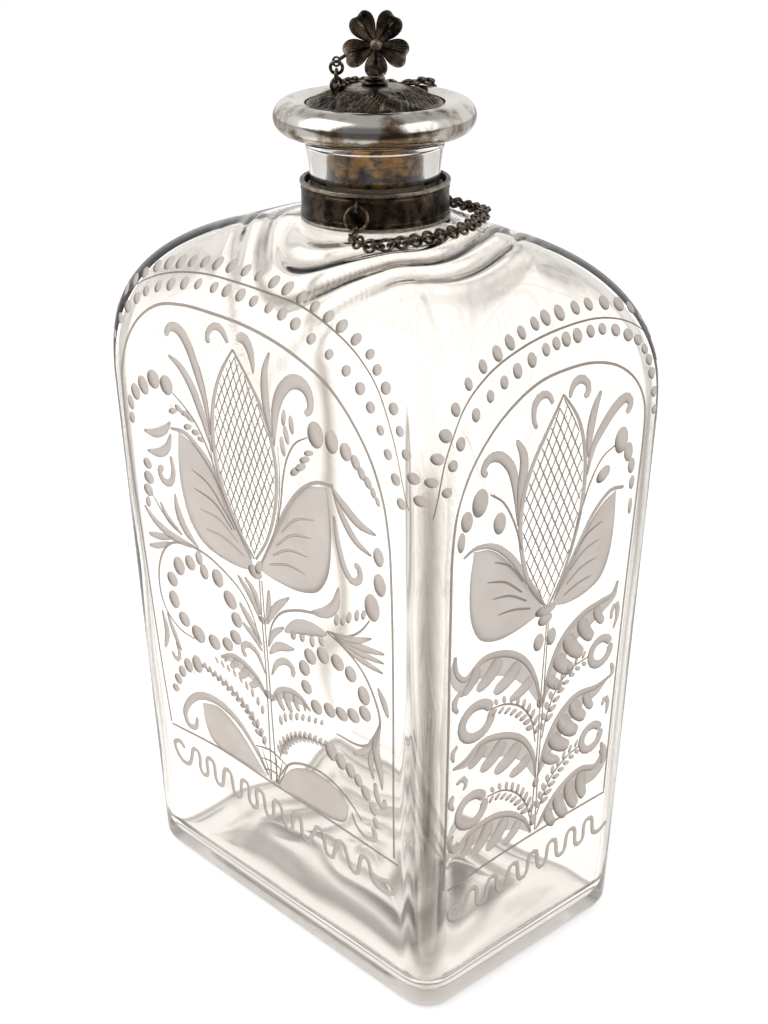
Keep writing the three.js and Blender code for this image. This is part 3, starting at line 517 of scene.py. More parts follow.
WIDE_TULIP_DOTS = [
    (-30.8, 140.8, 2.6, 2.5, 0), (-36, 141, 2.6, 2.4, 0), (-40.4, 138.4, 2.5, 2.1, 120), (-43.9, 135.8, 2.2, 1.9, 100),
    (-46.3, 132.4, 2, 1.3, 100), (-46.4, 128.4, 1.6, 1.2, 80), (23.2, 143.3, 3.1, 2.7, 90), (28.5, 143.2, 2.7, 2.2, 90),
    (33, 142.2, 2.1, 1.9, 90), (36.1, 140.7, 1.8, 1.4, 120), (38, 138.7, 1.6, 1.2, 120), (39.9, 137.2, 1.5, 1.1, 120),
    (41.5, 135.4, 1.3, 0.9, 110), (42.8, 133.7, 1.1, 0.7, 110), (-1, 101.6, 2.6, 1.8, 0), (0.6, 103.4, 2.2, 1.2, 60),
    (-28.9, 134.8, 1.8, 0.8, 200), (-26.4, 136, 1.6, 0.8, 160), (-24, 135.4, 1.7, 0.8, 190),
    (-22.2, 134.6, 1.5, 0.7, 170), (-23.4, 132.2, 1.7, 0.8, 200), (-20.4, 131.6, 1.6, 0.8, 190),
    (-18.4, 130.4, 1.4, 0.7, 180), (12, 137.4, 2.4, 0.9, 100), (13.4, 140.6, 2.3, 0.9, 105),
    (15.2, 143.4, 2.2, 0.9, 100), (12.6, 144.4, 2, 0.8, 85), (15.9, 132.6, 2.1, 0.9, 35), (17.9, 134.2, 2.1, 0.9, 30),
    (19.4, 136.4, 2, 0.8, 25), (20.9, 138.4, 1.8, 0.7, 20),
]
WIDE_LEAVES = [
    ([-27.4, 129.9, -28.3, 122, -27.9, 114.5, -25.4, 107, -21, 102.7, -14.8, 101, -7, 100.8, -2, 101.6],
     [-27.4, 129.9, -19.8, 127.2, -13.5, 121.6, -8.5, 113.6, -4.4, 107.4, -2, 104.2, -1.4, 103]),
    ([26.2, 131.8, 27, 124.5, 26.9, 117, 25.3, 109.5, 21.5, 104.5, 15.3, 102.3, 8, 102, 1.6, 102.6],
     [26.2, 131.8, 20.3, 130.2, 15.3, 126, 10.3, 119.2, 5.6, 111.4, 2.6, 106.2, 1.2, 103.4]),
    ([-26.8, 54.6, -26.2, 49.5, -24.2, 45.2, -21, 43.7, -11, 43.6, -1.6, 43.7],
     [-26.8, 54.6, -20, 56.2, -12.9, 53.6, -7.3, 49.2, -3.6, 45.6, -1.6, 43.9]),
    ([29.2, 50.1, 27.8, 45.2, 24, 43.5, 14, 43.2, 3.2, 43.6],
     [29.2, 50.1, 24.2, 53.4, 16.5, 54, 9, 51.2, 4.6, 46.4, 3.2, 43.9]),
]

WIDE_SPRAYS = [
    (0.2, 1.3, 0.25, 27.6, 132.9, 31.5, 129.6, 36.5, 126.5, 41.9, 125.6),
    (0.2, 1.1, 0.2, 28.4, 131.6, 31.5, 126.2, 35.3, 122, 40.3, 120),
    (0.35, 0.95, 0.8, 28.4, 125.8, 29.4, 119.5, 31.5, 113.6, 34, 111.6, 36.3, 113.3, 35.9, 115.8, 34.4, 116),
    (0.2, 0.3, 0.2, 39, 103.9, 35.9, 100.1, 31.5, 97, 24, 95.4),
    (0.15, 0.9, 0.2, 25.6, 95.5, 34, 97, 39.4, 99.5),
    (0.15, 1, 0.3, 26.4, 95.3, 36.5, 96, 43.4, 97.1),
    (0.15, 0.9, 0.25, 26.8, 95, 36, 94.3, 43.2, 94.7),
    (0.15, 0.9, 0.3, 27.1, 94.7, 35.3, 92.7, 42.8, 92),
    (0.2, 0.35, 0.4, 2.5, 83.3, 4, 88.9, 7.8, 93.9, 14, 97, 21.5, 98.9),
    (0.35, 1.5, 0.2, 19, 98.4, 24.4, 100.4, 27.6, 103.6, 29, 108.4),
    (0.2, 0.4, 0.2, 24, 95.4, 30.3, 93.3, 35.9, 89.8, 39.6, 84.5, 41.3, 78.9, 39.6, 73.3, 34.6, 69.5, 25.9, 68.9),
    (0.4, 2, 0.4, 24.2, 94.6, 19, 94, 14, 92.7, 8.8, 89.5),
    (0.3, 1.1, 0.35, 40.9, 87.6, 42.8, 84.5, 44, 81),
    (0.2, 1.3, 0.2, 41.3, 78.3, 39.6, 71.4, 40.9, 64.5, 41.3, 60.5),
    (0.2, 1.1, 0.3, 40.3, 75.8, 37.1, 69.6, 31.5, 65.9),
    (0.2, 0.9, 0.3, 39.8, 73, 37.6, 67, 38.4, 62),
    (0.6, 0.9, 0.7, 39, 61.4, 39.6, 57.2, 41.6, 55.9, 42.2, 58.3),
    (0.2, 0.38, 0.2, -1, 83.3, -2.9, 88.9, -6.6, 93.9, -12.3, 97.1, -19.8, 99.5, -27.3, 99.8, -34.1, 98, -38.5, 93.9,
     -41, 87.6, -41, 81.4, -38.5, 76.4, -33.5, 73.5, -27.9, 73),
    (0.4, 1.2, 0.15, -44.8, 105.1, -41, 102.2, -34.8, 100.2, -23, 100),
    (0.4, 1, 0.15, -44.1, 97.3, -39.8, 98, -33, 99.6),
    (0.3, 0.9, 0.15, -44.4, 93.9, -40.4, 95.1, -35, 97.8),
    (0.2, 0.95, 0.15, -37.6, 108.3, -35.2, 104.8, -29.4, 101.8),
    (0.2, 1.4, 0.15, -31, 112.6, -30.4, 108.3, -27.9, 103.9, -22.9, 100.3),
    (0.15, 0.25, 0.15, -41.6, 110.1, -36.4, 105.1, -29.6, 101.6),
    (0.3, 1.3, 0.2, -30.4, 131.4, -32.9, 128.9, -37.3, 126.7, -42, 126.2),
    (0.3, 1.3, 0.25, -30.6, 128.3, -32.3, 124.5, -36, 121.9, -41.3, 121),
    (0.6, 1, 0.9, -31.4, 122.3, -30.8, 118.3, -32.5, 114.9, -35.4, 114.6, -36.6, 117, -35, 118.4),
    (0.2, 1.1, 0.4, -41.3, 76.4, -39.8, 70.8, -41.3, 65.1),
    (0.2, 0.95, 0.4, -39.1, 76.4, -36.6, 71.4, -34.1, 67),
    (0.6, 0.75, 0.3, -38.5, 65.3, -36.6, 63.6, -35, 65.1, -36.2, 69),
    (0.2, 0.25, 0.25, 0.5, 100.1, 0.6, 87, 0.8, 73.3, 0.5, 57, 0.2, 43.5),
    (0.2, 0.25, 0.25, 1.4, 100.1, 1.6, 87, 1.9, 73.3, 2.1, 57, 2.6, 43.5),
    (0.2, 1.05, 0.3, -0.1, 88.9, -2.9, 93.9, -7.9, 98.5),
    (0.2, 1, 0.3, 0.1, 90.4, -1.6, 95.8, -5.2, 98.9),
    (0.2, 0.95, 0.3, 2.1, 89.4, 3.4, 93.9, 3.8, 98.6),
    (0.2, 1.15, 0.2, 2.4, 88.9, 5.9, 94.5, 11.3, 99.3),
    (0.2, 1.15, 0.5, 0, 82, -2.6, 85.6, -7.9, 91),
    (0.2, 0.95, 0.4, 0, 80.4, -3, 83.4, -7.3, 85.7),
    (0.2, 1.25, 0.3, 2.5, 80.8, 5.9, 84.2, 12.1, 85.9),
    (0.2, 0.95, 0.3, 2.3, 82.6, 4.4, 87, 8.6, 90.4),
    (0.2, 0.9, 0.7, 0.5, 74.5, -2.3, 79.3, -6, 80.2, -7.9, 78.3, -6.8, 76.2),
    (0.2, 1, 0.7, 2.8, 75, 5.3, 79.3, 9, 81.3, 11.3, 80.1, 10.7, 77.8),
    (0.15, 0.25, 0.15, -0.8, 52, -3.5, 57, -8.5, 61.4, -14.8, 64.3, -25.4, 66.1),
    (0.15, 0.28, 0.15, 3.8, 51.4, 5.9, 56.4, 10.3, 60.8, 15.9, 63, 22.5, 63.8),
    (0.25, 1.15, 0.6, -1, 44.5, -6, 50.8, -12.3, 55.7, -20.4, 57.8, -27.9, 56.2, -32.9, 52, -35, 47.6, -33.5, 44.9,
     -30.6, 45.6, -29.6, 48.8),
    (0.2, 0.4, 0.2, 3.4, 46.2, 7.8, 51.9, 14, 54.6, 21.5, 55, 28.4, 52.6, 34, 48.3),
    (0.25, 0.6, 0.9, 30.3, 48.9, 32.1, 45.6, 35.9, 44.2, 38.4, 45.8, 37.6, 48.4),
    (0.1, 0.2, 0.15, -5.2, 51.6, -0.1, 43.6), (0.1, 0.2, 0.15, -2.9, 51.8, 0.4, 43.6),
    (0.1, 0.2, 0.15, 2.9, 51.6, 2, 43.6), (0.1, 0.2, 0.15, 5, 51.3, 2.6, 43.6),
    (0.1, 0.2, 0.15, 7, 50.9, 3, 43.6), (0.1, 0.3, 0.1, -5.6, 51.4, 0.9, 52.6, 7.3, 50.7),
    (0.1, 0.25, 0.1, -3.8, 48.6, 0.9, 49.4, 6, 48.2), (0.1, 0.25, 0.1, -2.3, 46, 1.1, 46.7, 4.3, 45.8),
]
WIDE_SPRAY_DOTS = [
    (42.5, 120.6, 2.3, 1.7, 90), (42.6, 113.9, 2.8, 2, 90), (39.9, 107.4, 3.4, 2.5, 90), (27.8, 99.8, 1.7, 0.8, 75),
    (30, 100.6, 1.7, 0.8, 70), (32.1, 102, 1.7, 0.8, 70), (34.8, 103.6, 1.7, 0.8, 75), (37, 104.6, 1.5, 0.7, 70),
    (17.8, 86.3, 2.2, 2.1, 0), (22.4, 88.4, 2.2, 2.1, 0), (27.5, 88.6, 2.3, 2.1, 0), (31.9, 87.4, 2.2, 2, 60),
    (36.1, 83.5, 2.5, 2.1, 90), (36.3, 78.9, 2.1, 2, 0), (32.3, 76.6, 2.2, 1.9, 0), (28.2, 75.2, 2.2, 1.8, 0),
    (23.9, 74.4, 2.1, 1.9, 0), (19.2, 73.2, 2.1, 2, 0), (15.9, 77.3, 2, 1.9, 0), (15.5, 82.3, 2.2, 2, 60),
    (12.1, 89.9, 1.6, 1, 250), (15.3, 90.6, 1.6, 1, 260), (18.8, 90.8, 1.6, 1, 270), (22.1, 92.2, 1.5, 1, 280),
    (-41.6, 117.4, 1.8, 1.5, 0), (-41.6, 113.6, 2.1, 1.8, 0), (-42.3, 110, 2, 1.7, 0), (-42.8, 106.6, 1.5, 1.2, 80),
    (-23.1, 97.6, 2, 1.5, 90), (-27, 94.9, 2.2, 2.1, 0), (-21.4, 94.4, 2.1, 1.8, 90), (-16, 94.6, 2.5, 2.3, 90),
    (-11.6, 90.2, 2.7, 2.3, 150), (-9.5, 85.5, 2.2, 2.1, 0), (-10.4, 80.3, 2.3, 2, 0), (-13.9, 77, 2.3, 1.9, 20),
    (-19.4, 75.4, 2.5, 2.1, 0), (-26, 75.1, 2.9, 2.4, 0), (-31.6, 77.3, 2.4, 2.1, 0), (-35.3, 81.6, 2.5, 2.3, 90),
    (-35.3, 87.4, 2.3, 2.1, 0), (-31.9, 92.3, 2.7, 2.4, 70), (0.9, 89.4, 1.8, 1, 0), (1.2, 69, 1.6, 1.2, 0),
    (-27.6, 65.8, 2.5, 2.2, 90), (-31.6, 63.8, 2.1, 1.9, 90), (-34.5, 60.8, 1.8, 1.6, 60), (-36.6, 57.7, 1.7, 1.6, 0),
    (-38.1, 54.4, 1.6, 1.2, 20), (23.9, 63, 2.5, 2.2, 90), (27.2, 61.8, 2.3, 2, 90), (30.5, 60.8, 2.1, 1.8, 90),
    (33.1, 59.3, 1.8, 1.5, 90), (35.6, 57, 2, 1.6, 110), (37.8, 53.6, 1.8, 1.1, 110), (38.7, 50.2, 1.6, 1, 100),
]
WIDE_FERNS = [
    (13, 1, 1.45, 0.78, -2.2, 54.6, -5, 59, -9.6, 62.4, -15.6, 65, -25, 67.4),
    (13, -1, 1.45, 0.78, -1.6, 52.6, -4.4, 57.4, -9, 61, -15, 63.9, -24.6, 65.9),
    (9, -1, 1.35, 0.72, -1, 61.5, -5, 65.6, -10.6, 68.2, -19.6, 69.6),
    (12, -1, 1.45, 0.78, 4.6, 53.6, 6.4, 57.6, 10.8, 61.6, 16.2, 63.8, 22.2, 64.6),
    (12, 1, 1.45, 0.78, 4.4, 52.6, 6.4, 56.6, 10.8, 60.6, 16.2, 62.8, 22.2, 63.6),
    (8, 1, 1.35, 0.72, 4.6, 61.6, 8.4, 64.8, 13.6, 67, 21.6, 69),
]
WIDE_SCROLL_LEAVES = [
    (5, 1, 6.0, 0.9, 67.4, -2.3, 71.6, -6.6, 73.8, -12.3, 74.4, -17.3, 72),
    (5, -1, 6.0, 2, 67.4, 5.3, 71.9, 10.3, 73.8, 13.6, 73.4, 17, 71),
]

NARROW_BORDER = [
    (0.3, 0.32, 0.3, -30.6, 36.4, -31, 69.5, -31.9, 107, -32.1, 125.8, -31, 134.5, -27.5, 142, -21.3, 148.3,
     -13.8, 152.6, -5, 155.4, 3.8, 156.1, 12.5, 155.6, 20, 153.4, 25.4, 149.3, 28.4, 143.9, 29.1, 138.5,
     28.5, 119.5, 27.3, 94.5, 26.3, 63.3, 25.8, 38.6),
    (0.3, 0.35, 0.3, -29.6, 36.2, -17.5, 37.5, 0, 38.3, 26.3, 38.3),
    (0.1, 0.22, 0.1, -36.4, 133, -33.8, 147, -28.8, 154.5, -20, 159.5, -7.5, 162.6, 7.5, 163.9, 20, 163.3, 27.5, 161,
     31.9, 157.6, 33.8, 152.6, 34.4, 145.8),
]
NARROW_OUTER_DOTS = [
    (-36.7, 141.4), (-35.6, 146.4), (-33.6, 151), (-30.2, 155.6), (-25, 159.4), (-19.6, 161.6), (-14.4, 163),
    (-9.8, 164.2), (-5.4, 165.2), (-0.6, 166), (3.2, 166.4), (7.8, 166.5), (13.1, 166.5), (17.5, 166.4), (22.3, 165.8),
    (26.5, 164.8), (30, 163.4), (32.6, 160.8), (34.4, 157.4), (35.6, 153), (36.4, 148),
]
NARROW_INNER_DOTS = [
    (-34, 138.9), (-32.6, 144.5), (-30.3, 148.6), (-25, 153.3), (-20, 155.9), (-15.2, 157.6), (-10.6, 158.9),
    (-5.6, 160), (-0.6, 161), (3, 161.5), (6.3, 161.7), (10, 161.7), (14.4, 161.7), (18.2, 161.4), (22.2, 160.4),
    (25.6, 158.7), (28.4, 157.1), (30, 154.8), (31, 152.2), (31.5, 149.1), (32.2, 144.6), (32.6, 140.2),
]
NARROW_PEAKS = [-21.3, -14.4, -7.1, 0, 6.9, 14, 20.6]
NARROW_TROUGHS = [-17.9, -10.8, -3.5, 3.5, 10.5, 17.4]
NARROW_WAVE = (26.6, 32.8, [-25.9, 29.4, -27, 30.4, -28.6, 29.6, -28.4, 27.6, -26.6, 26.6, -24.8, 27.4],
               [22.4, 29.4, 22.9, 27.6, 24.4, 26.9, 26.4, 27.4, 28, 28.6])

NARROW_LENS = (
    [1.6, 151, -3.8, 144.5, -8.6, 137, -11, 128.3, -10.4, 119.5, -6.7, 108.6, -0.8, 101],
    [1.6, 151, 5.6, 144.5, 8.1, 136, 8.7, 128.3, 7.3, 118.3, 3.8, 108.3, -0.8, 101],
)
NARROW_TULIP = [
    (0.3, 0.7, 0.35, 1.6, 151.3, -4.1, 144.7, -9.1, 137.1, -11.5, 128.3, -10.9, 119.3, -7.1, 108.3, -1, 100.6),
    (0.3, 0.65, 0.35, 1.6, 151.3, 6, 144.7, 8.6, 136.2, 9.2, 128.3, 7.7, 118.1, 4.1, 108, -0.6, 100.6),
    (0.6, 0.9, 0.5, -1.9, 150.1, -3.1, 152.3, -5.6, 152.6, -7.8, 150.8, -8.2, 147.8, -7.4, 145.9),
    (0.5, 1, 0.8, 3.3, 150.1, 5, 152.5, 7.5, 153.3, 9.6, 152, 9.4, 149.7, 8, 149.4),
    (0.4, 1.35, 0.2, 13.8, 149.3, 11.5, 145.8, 10, 140.8, 9.8, 134.5),
    (0.2, 1.35, 0.8, 9.8, 130.2, 11.5, 137, 15, 141.4, 19.4, 144.8, 22.5, 145.6, 23.8, 143.9, 22.5, 141.7),
    (0.2, 0.3, 0.2, 19.4, 135.1, 15, 133.3, 11.3, 128.3, 8.8, 122, 5.6, 112),
    (0.5, 1.45, 0.2, -13.8, 145.1, -11.6, 140.8, -11.9, 133.3, -12.5, 127),
    (0.2, 1.3, 0.7, -12.3, 124.6, -13.5, 133.3, -15.6, 139.5, -19.4, 143, -22.5, 143, -24, 140.9, -22.7, 139.6),
    (0.2, 0.3, 0.2, -21.5, 134.9, -17.5, 132, -13.8, 126.4, -10.6, 118.3),
    (0.3, 0.9, 0.35, -29, 122.3, -25.6, 123.5, -20, 122.3, -14.4, 118, -8.8, 111, -1.9, 101.8),
    (0.4, 0.6, 0.3, 23.6, 123.5, 18.8, 124, 13.8, 120.6, 8.8, 113.7, 1.3, 101.8),
    (0.1, 0.3, 0.2, -19.4, 118.3, -14.4, 115.8, -9.4, 110.1), (0.1, 0.3, 0.2, -21.3, 114, -15.6, 112.2, -9.6, 107.6),
    (0.1, 0.3, 0.2, -19.4, 109.3, -13.8, 108.2, -7.8, 104.8), (0.1, 0.3, 0.2, -17.5, 104.6, -12.5, 104.2, -6.3, 102.4),
    (0.1, 0.3, 0.2, 16.6, 117, 11.4, 115.2, 7.2, 111.2), (0.1, 0.3, 0.2, 16.2, 112.6, 10.6, 111.2, 6, 107.6),
    (0.1, 0.3, 0.2, 15.6, 108, 10.3, 107.2, 5.2, 104.4), (0.1, 0.3, 0.2, 14.4, 103.8, 9.8, 103.4, 4.6, 101.8),
]
NARROW_TULIP_DOTS = [
    (21.2, 135.7, 3.3, 2.4, 90), (24.1, 132, 2.5, 1.6, 100), (25.6, 128.2, 2, 1.3, 95), (26.3, 123.8, 1.8, 1, 90),
    (26.4, 117.8, 2.1, 0.8, 90), (15.6, 128.9, 2.6, 1.7, 30), (-24.6, 133.9, 3.3, 2.5, 90),
    (-28.4, 130.7, 2.5, 1.8, 100), (-29.8, 126.3, 2.4, 1.2, 90), (-18.2, 127.2, 2.7, 2, 100),
    (-1.3, 100.2, 3.6, 1.4, 0), (-1.3, 97.8, 2.5, 1.6, 0), (-3, 92.4, 2.3, 1.8, 90), (1.3, 92.4, 2.3, 1.7, 90),
]
NARROW_LEAVES = [
    ([-25.8, 122.8, -26.6, 114.5, -25.7, 105.8, -22.5, 100.2, -16.3, 98, -7.5, 98.8, -2.2, 100.4],
     [-25.8, 122.8, -20.6, 121.6, -15, 117.2, -9.4, 110.4, -5, 104.8, -2.2, 101.2]),
    ([20.8, 123.4, 21, 114.5, 20.1, 107, 17.5, 102, 12.5, 99.8, 6.3, 99.3, 0.8, 100.4],
     [20.8, 123.4, 16.3, 121.4, 11.3, 116.4, 6.6, 109.2, 3.2, 104, 0.8, 101.2]),
]
NARROW_SPRAYS = [
    (0.2, 0.22, 0.25, -0.6, 96.4, -1, 75.8, -1.1, 57, -1.9, 39),
    (0.2, 0.22, 0.25, 0, 96.4, 0, 75.8, -0.2, 57, 0, 39),
    (0.2, 0.28, 0.2, -18.1, 80.8, -13.1, 80.1, -7.5, 77, -3.8, 72, -1.9, 65.1),
    (0.2, 0.28, 0.2, 15.4, 81.6, 10, 80.8, 5, 77.6, 1.9, 72, 0.3, 65.1),
    (0.2, 0.28, 0.2, -17.8, 57, -12.5, 56.4, -7.5, 53.3, -3.8, 48.3, -1.9, 43.3),
    (0.2, 0.28, 0.2, 14.8, 57, 10, 55.8, 5, 52.6, 1.9, 47.6, 0.3, 43.3),
    (0.5, 0.9, 0.3, 22.9, 88.9, 23.2, 91.8, 24.5, 92.8, 25.2, 89.5, 24, 86),
    (0.5, 0.8, 0.3, 22.3, 65.1, 22.9, 67.4, 24.3, 66, 24, 62),
    (0.5, 0.8, 0.3, 24.2, 76.4, 25.2, 74.6, 24.6, 72.6, 23.4, 73),
    (0.5, 0.9, 0.4, -26.9, 88.1, -28.7, 88.9, -30, 86.4, -28.6, 84),
    (0.5, 0.8, 0.3, -28.3, 65, -26.2, 65.8, -25, 64, -26, 62.4),
    (0.5, 0.8, 0.3, -29.2, 62.6, -29.8, 60, -28.6, 58.2),
    (0.5, 0.7, 0.3, -28.4, 75.6, -29.8, 74, -29.4, 71.4),
    (0.5, 0.7, 0.3, -28.6, 51.4, -29.6, 49.4, -29, 46.6),
    (0.5, 0.7, 0.3, 22.6, 52, 24.2, 50.4, 23.8, 47.6),
]
NARROW_RINGS = [
    (-22.5, 79.5, 4.8, 4.1, 1.35), (19.8, 81.4, 3.6, 3.4, 1.15),
    (-22.9, 55.8, 4.3, 3.9, 1.3), (18.8, 57.6, 3.5, 3.3, 1.15),
]
NARROW_SPRAY_DOTS = [(-0.8, 75.8, 1.7, 1.5, 90), (-0.8, 53.3, 1.4, 1.2, 90), (-0.9, 42.6, 1.3, 1.6, 0)]
NARROW_FERNS = [
    (9, -1, 1.45, 0.78, -1.6, 66.6, -3.6, 72, -7.4, 77, -13, 80.4, -17, 81.2),
    (8, 1, 1.45, 0.78, -2.6, 68.6, -4.4, 72.4, -8.2, 76.4, -13.4, 79.6, -17, 80.4),
    (9, 1, 1.45, 0.78, 0.4, 66.6, 1.7, 72, 4.9, 77.6, 9.8, 81, 14.4, 82),
    (8, -1, 1.45, 0.78, 1, 68.6, 2.6, 72.4, 5.6, 76.8, 10.4, 80.2, 14.4, 81.2),
    (9, -1, 1.45, 0.78, -1.6, 44.6, -3.6, 48.3, -7.3, 53.4, -12.4, 56.7, -16.6, 57.4),
    (8, 1, 1.45, 0.78, -2.4, 45.6, -4.4, 48.6, -8, 52.8, -12.8, 55.9, -16.6, 56.6),
    (9, 1, 1.45, 0.78, 0.4, 44.6, 1.7, 47.7, 4.9, 52.8, 9.8, 56.1, 14, 57.4),
    (8, -1, 1.45, 0.78, 1, 45.6, 2.6, 48, 5.6, 52, 10.4, 55.3, 14, 56.6),
]
NARROW_SCROLL_LEAVES = [
    (6, 1, 10.5, -0.9, 75, -3.1, 82.6, -7.5, 89.4, -13.8, 93.6, -21.3, 94.9, -26.9, 92, -29.6, 94.6, -30.3, 99),
    (7, -1, 10.5, -0.3, 75, 1.4, 83, 5.6, 90.4, 11.9, 94.2, 18.8, 95.4, 22.5, 95.9, 24.4, 99),
    (6, 1, 10.5, -0.9, 54.6, -2.5, 62, -6.9, 68.2, -13.1, 71.7, -20.6, 73, -25.6, 70.4, -29.6, 69.6),
    (7, -1, 10.5, -0.3, 54.6, 1.9, 62.6, 6.3, 69.2, 11.9, 72.3, 19.4, 71.8, 23.8, 72.6),
    (6, 1, 10.0, -1.3, 39.2, -4.4, 44.4, -10, 48.6, -16.3, 50.3, -23.8, 49.2, -28.1, 46.6, -29.4, 49.6),
    (7, -1, 10.5, 0.4, 39.2, 3.8, 43.8, 9.4, 48, 15.6, 49.7, 21.3, 48.2, 23.6, 50.6, 23.1, 54.4),
]

# The way across and up to the shaded side of a cut, and the reach of the underside within a cut's rim
DARK_SIDE = (-0.85, -0.5)
UNDERSIDE = 0.99
# Half widths of the net's lines and of the running wave, in millimetres
NET_LINE, WAVE_LINE = (0.16, 0.2, 0.16), (0.65, 0.65, 0.65)
# A scrolled leaf's rows for each lobe, the depth of its ground as a share of its lobes', and its lobes' turn from the
# spine in degrees, on the left and on the right of it
LOBE_ROWS, LEAF_GROUND, LOBE_TURN = 10, 0.6, {1: 88, -1: 112}


def pairs(numbers):
    """A flat run of numbers as points."""
    return np.reshape(numbers, (-1, 2)).astype(float)


def carve(line, half_widths):
    """One cut as a closed strip on the flat: five columns on top and three beneath, drawn in to a point at its ends.

    Its half width runs through the start, middle and end values on a parabola, and its ends are round. Returned are
    the distance across, the height, the shade, the height of the dish, 1 on top or 0 beneath, and the faces.
    """
    start, middle, end = half_widths
    span = np.linalg.norm(np.diff(line, axis=0), axis=1).sum()
    count = int(np.clip(span / 0.8, 8, 360))
    fine = spline(line, 4 * count)
    s = np.linspace(0, 1, count)
    t = s - 0.13 * np.sin(2 * np.pi * s)
    path = np.stack([np.interp(t, np.linspace(0, 1, len(fine)), column) for column in fine.T], 1)
    bulge = 2 * middle - (start + end) / 2
    width = start * (1 - t) ** 2 + 2 * bulge * t * (1 - t) + end * t**2
    near = np.minimum(t, 1 - t) * span / np.maximum(width, 0.05)
    width = width * np.sqrt(1 - (1 - np.clip(near, 0, 1)) ** 2)
    along = np.gradient(path, axis=0)
    along /= np.maximum(np.linalg.norm(along, axis=1), 1e-9)[:, None]
    columns = np.array([-1, -0.55, 0, 0.55, 1, UNDERSIDE, 0, -UNDERSIDE])
    shift = width[:, None] * columns
    across = path[:, :1] - along[:, 1:] * shift
    height = path[:, 1:] + along[:, :1] * shift
    top = np.broadcast_to(np.repeat([1.0, 0.0], [5, 3]), across.shape)
    away = (along[:, :1] * DARK_SIDE[1] - along[:, 1:] * DARK_SIDE[0]) * columns
    thin = np.clip(1 - (width[:, None] - 0.2) / 0.5, 0, 1) * 0.75
    shade = np.clip(0.95 * away * np.abs(columns) + 0.1 * np.abs(columns) ** 3, 0, 1)
    dish = np.broadcast_to(columns**2, across.shape).copy()
    dish[[0, -1]] = np.nan
    return across, height, np.maximum(shade, thin), dish, top, grid_faces(count, 8, False, True)[:, ::-1]


def dimple(dot):
    """One dot as a closed oval on the flat: three rings and a middle on top, one ring and a middle beneath."""
    x, z, first, second, turn = dot
    angle = np.arange(14) / 14 * 2 * np.pi
    share = np.array([0, 0.5, 0.85, 1.0, UNDERSIDE, 0])[:, None]
    c, s = math.cos(math.radians(turn)), math.sin(math.radians(turn))
    right, up = share * first * np.cos(angle), share * second * np.sin(angle)
    top = np.broadcast_to(np.array([1, 1, 1, 1, 0, 0.0])[:, None], right.shape)
    across, height = right * c - up * s, right * s + up * c
    away = (across * DARK_SIDE[0] + height * DARK_SIDE[1]) / max(first, second)
    shade = np.clip(1.5 * away * share + 0.12 * share**3, 0, 1)
    dish = np.broadcast_to(share**2, right.shape)
    return x + across, z + height, shade, dish, top, grid_faces(6, 14, False, True)[:, ::-1]


def hatching(lens, pitch, slope):
    """Cuts of a net in a lens: lines across = start + slope * height, kept where they lie between the two edges."""
    left, right = (spline(pairs(edge), 200) for edge in lens)
    height = np.linspace(left[:, 1].min() + 0.6, left[:, 1].max() - 0.6, 300)
    low = np.interp(height, left[::-1, 1], left[::-1, 0]) + 0.3
    high = np.interp(height, right[::-1, 1], right[::-1, 0]) - 0.3
    cuts = []
    for lean in (-slope, slope):
        for start in np.arange(-90, 90, pitch):
            line = start + lean * (height - height.mean())
            within = np.flatnonzero((line > low) & (line < high))
            if len(within) > 4:
                ends = within[[0, -1]]
                cuts.append((*NET_LINE, *np.stack([line[ends], height[ends]], 1).ravel()))
    return cuts


def fern(count, hand, half_length, half_width, *stalk):
    """Dots of a fern: leaflets along one side of its stalk, leaning towards its tip."""
    line = spline(pairs(stalk), count * 6 + 1)
    along = np.gradient(line, axis=0)
    turn = np.arctan2(along[:, 1], along[:, 0]) + hand * math.radians(52)
    far = line + 1.15 * np.stack([np.cos(turn), np.sin(turn)], 1)
    size = np.linspace(1.05, 0.75, count)
    picks = np.arange(count) * 6 + 3
    return [(*far[i], half_length * k, half_width * k, math.degrees(turn[i])) for i, k in zip(picks, size)]


def closed_sheet(sheet, top_columns, edge_shade):
    """The flat shape of a two-sided sheet whose end rows are points: its first columns are its top."""
    rows, columns = sheet.shape[:2]
    top = np.broadcast_to(np.repeat([2.0, 0.0], [top_columns, columns - top_columns]), (rows, columns))
    dish = np.zeros((rows, columns))
    dish[[0, -1]] = np.nan
    upper = sheet[:, :top_columns]
    first, second = np.diff(upper, axis=0)[:, :-1], np.diff(upper, axis=1)[:-1]
    faces = grid_faces(rows, columns, False, True)
    if np.sum(first[..., 0] * second[..., 1] - first[..., 1] * second[..., 0]) > 0:
        faces = faces[:, ::-1]
    return sheet[..., 0], sheet[..., 1], np.broadcast_to(edge_shade, (rows, columns)), dish, top, faces


def meadow(edges):
    """One leaf's ground as a closed sheet on the flat, ruled between two edges that meet at both ends."""
    low, high = (spline(pairs(edge), 44) for edge in edges)
    low[-1] = high[-1] = (low[-1] + high[-1]) / 2
    share = np.concatenate([np.linspace(0, 1, 11), np.linspace(0.998, 0.002, 5)])[:, None]
    sheet = low[:, None] * (1 - share) + high[:, None] * share
    return closed_sheet(sheet, 11, 0.3 * np.abs(2 * share.T - 1) ** 8)


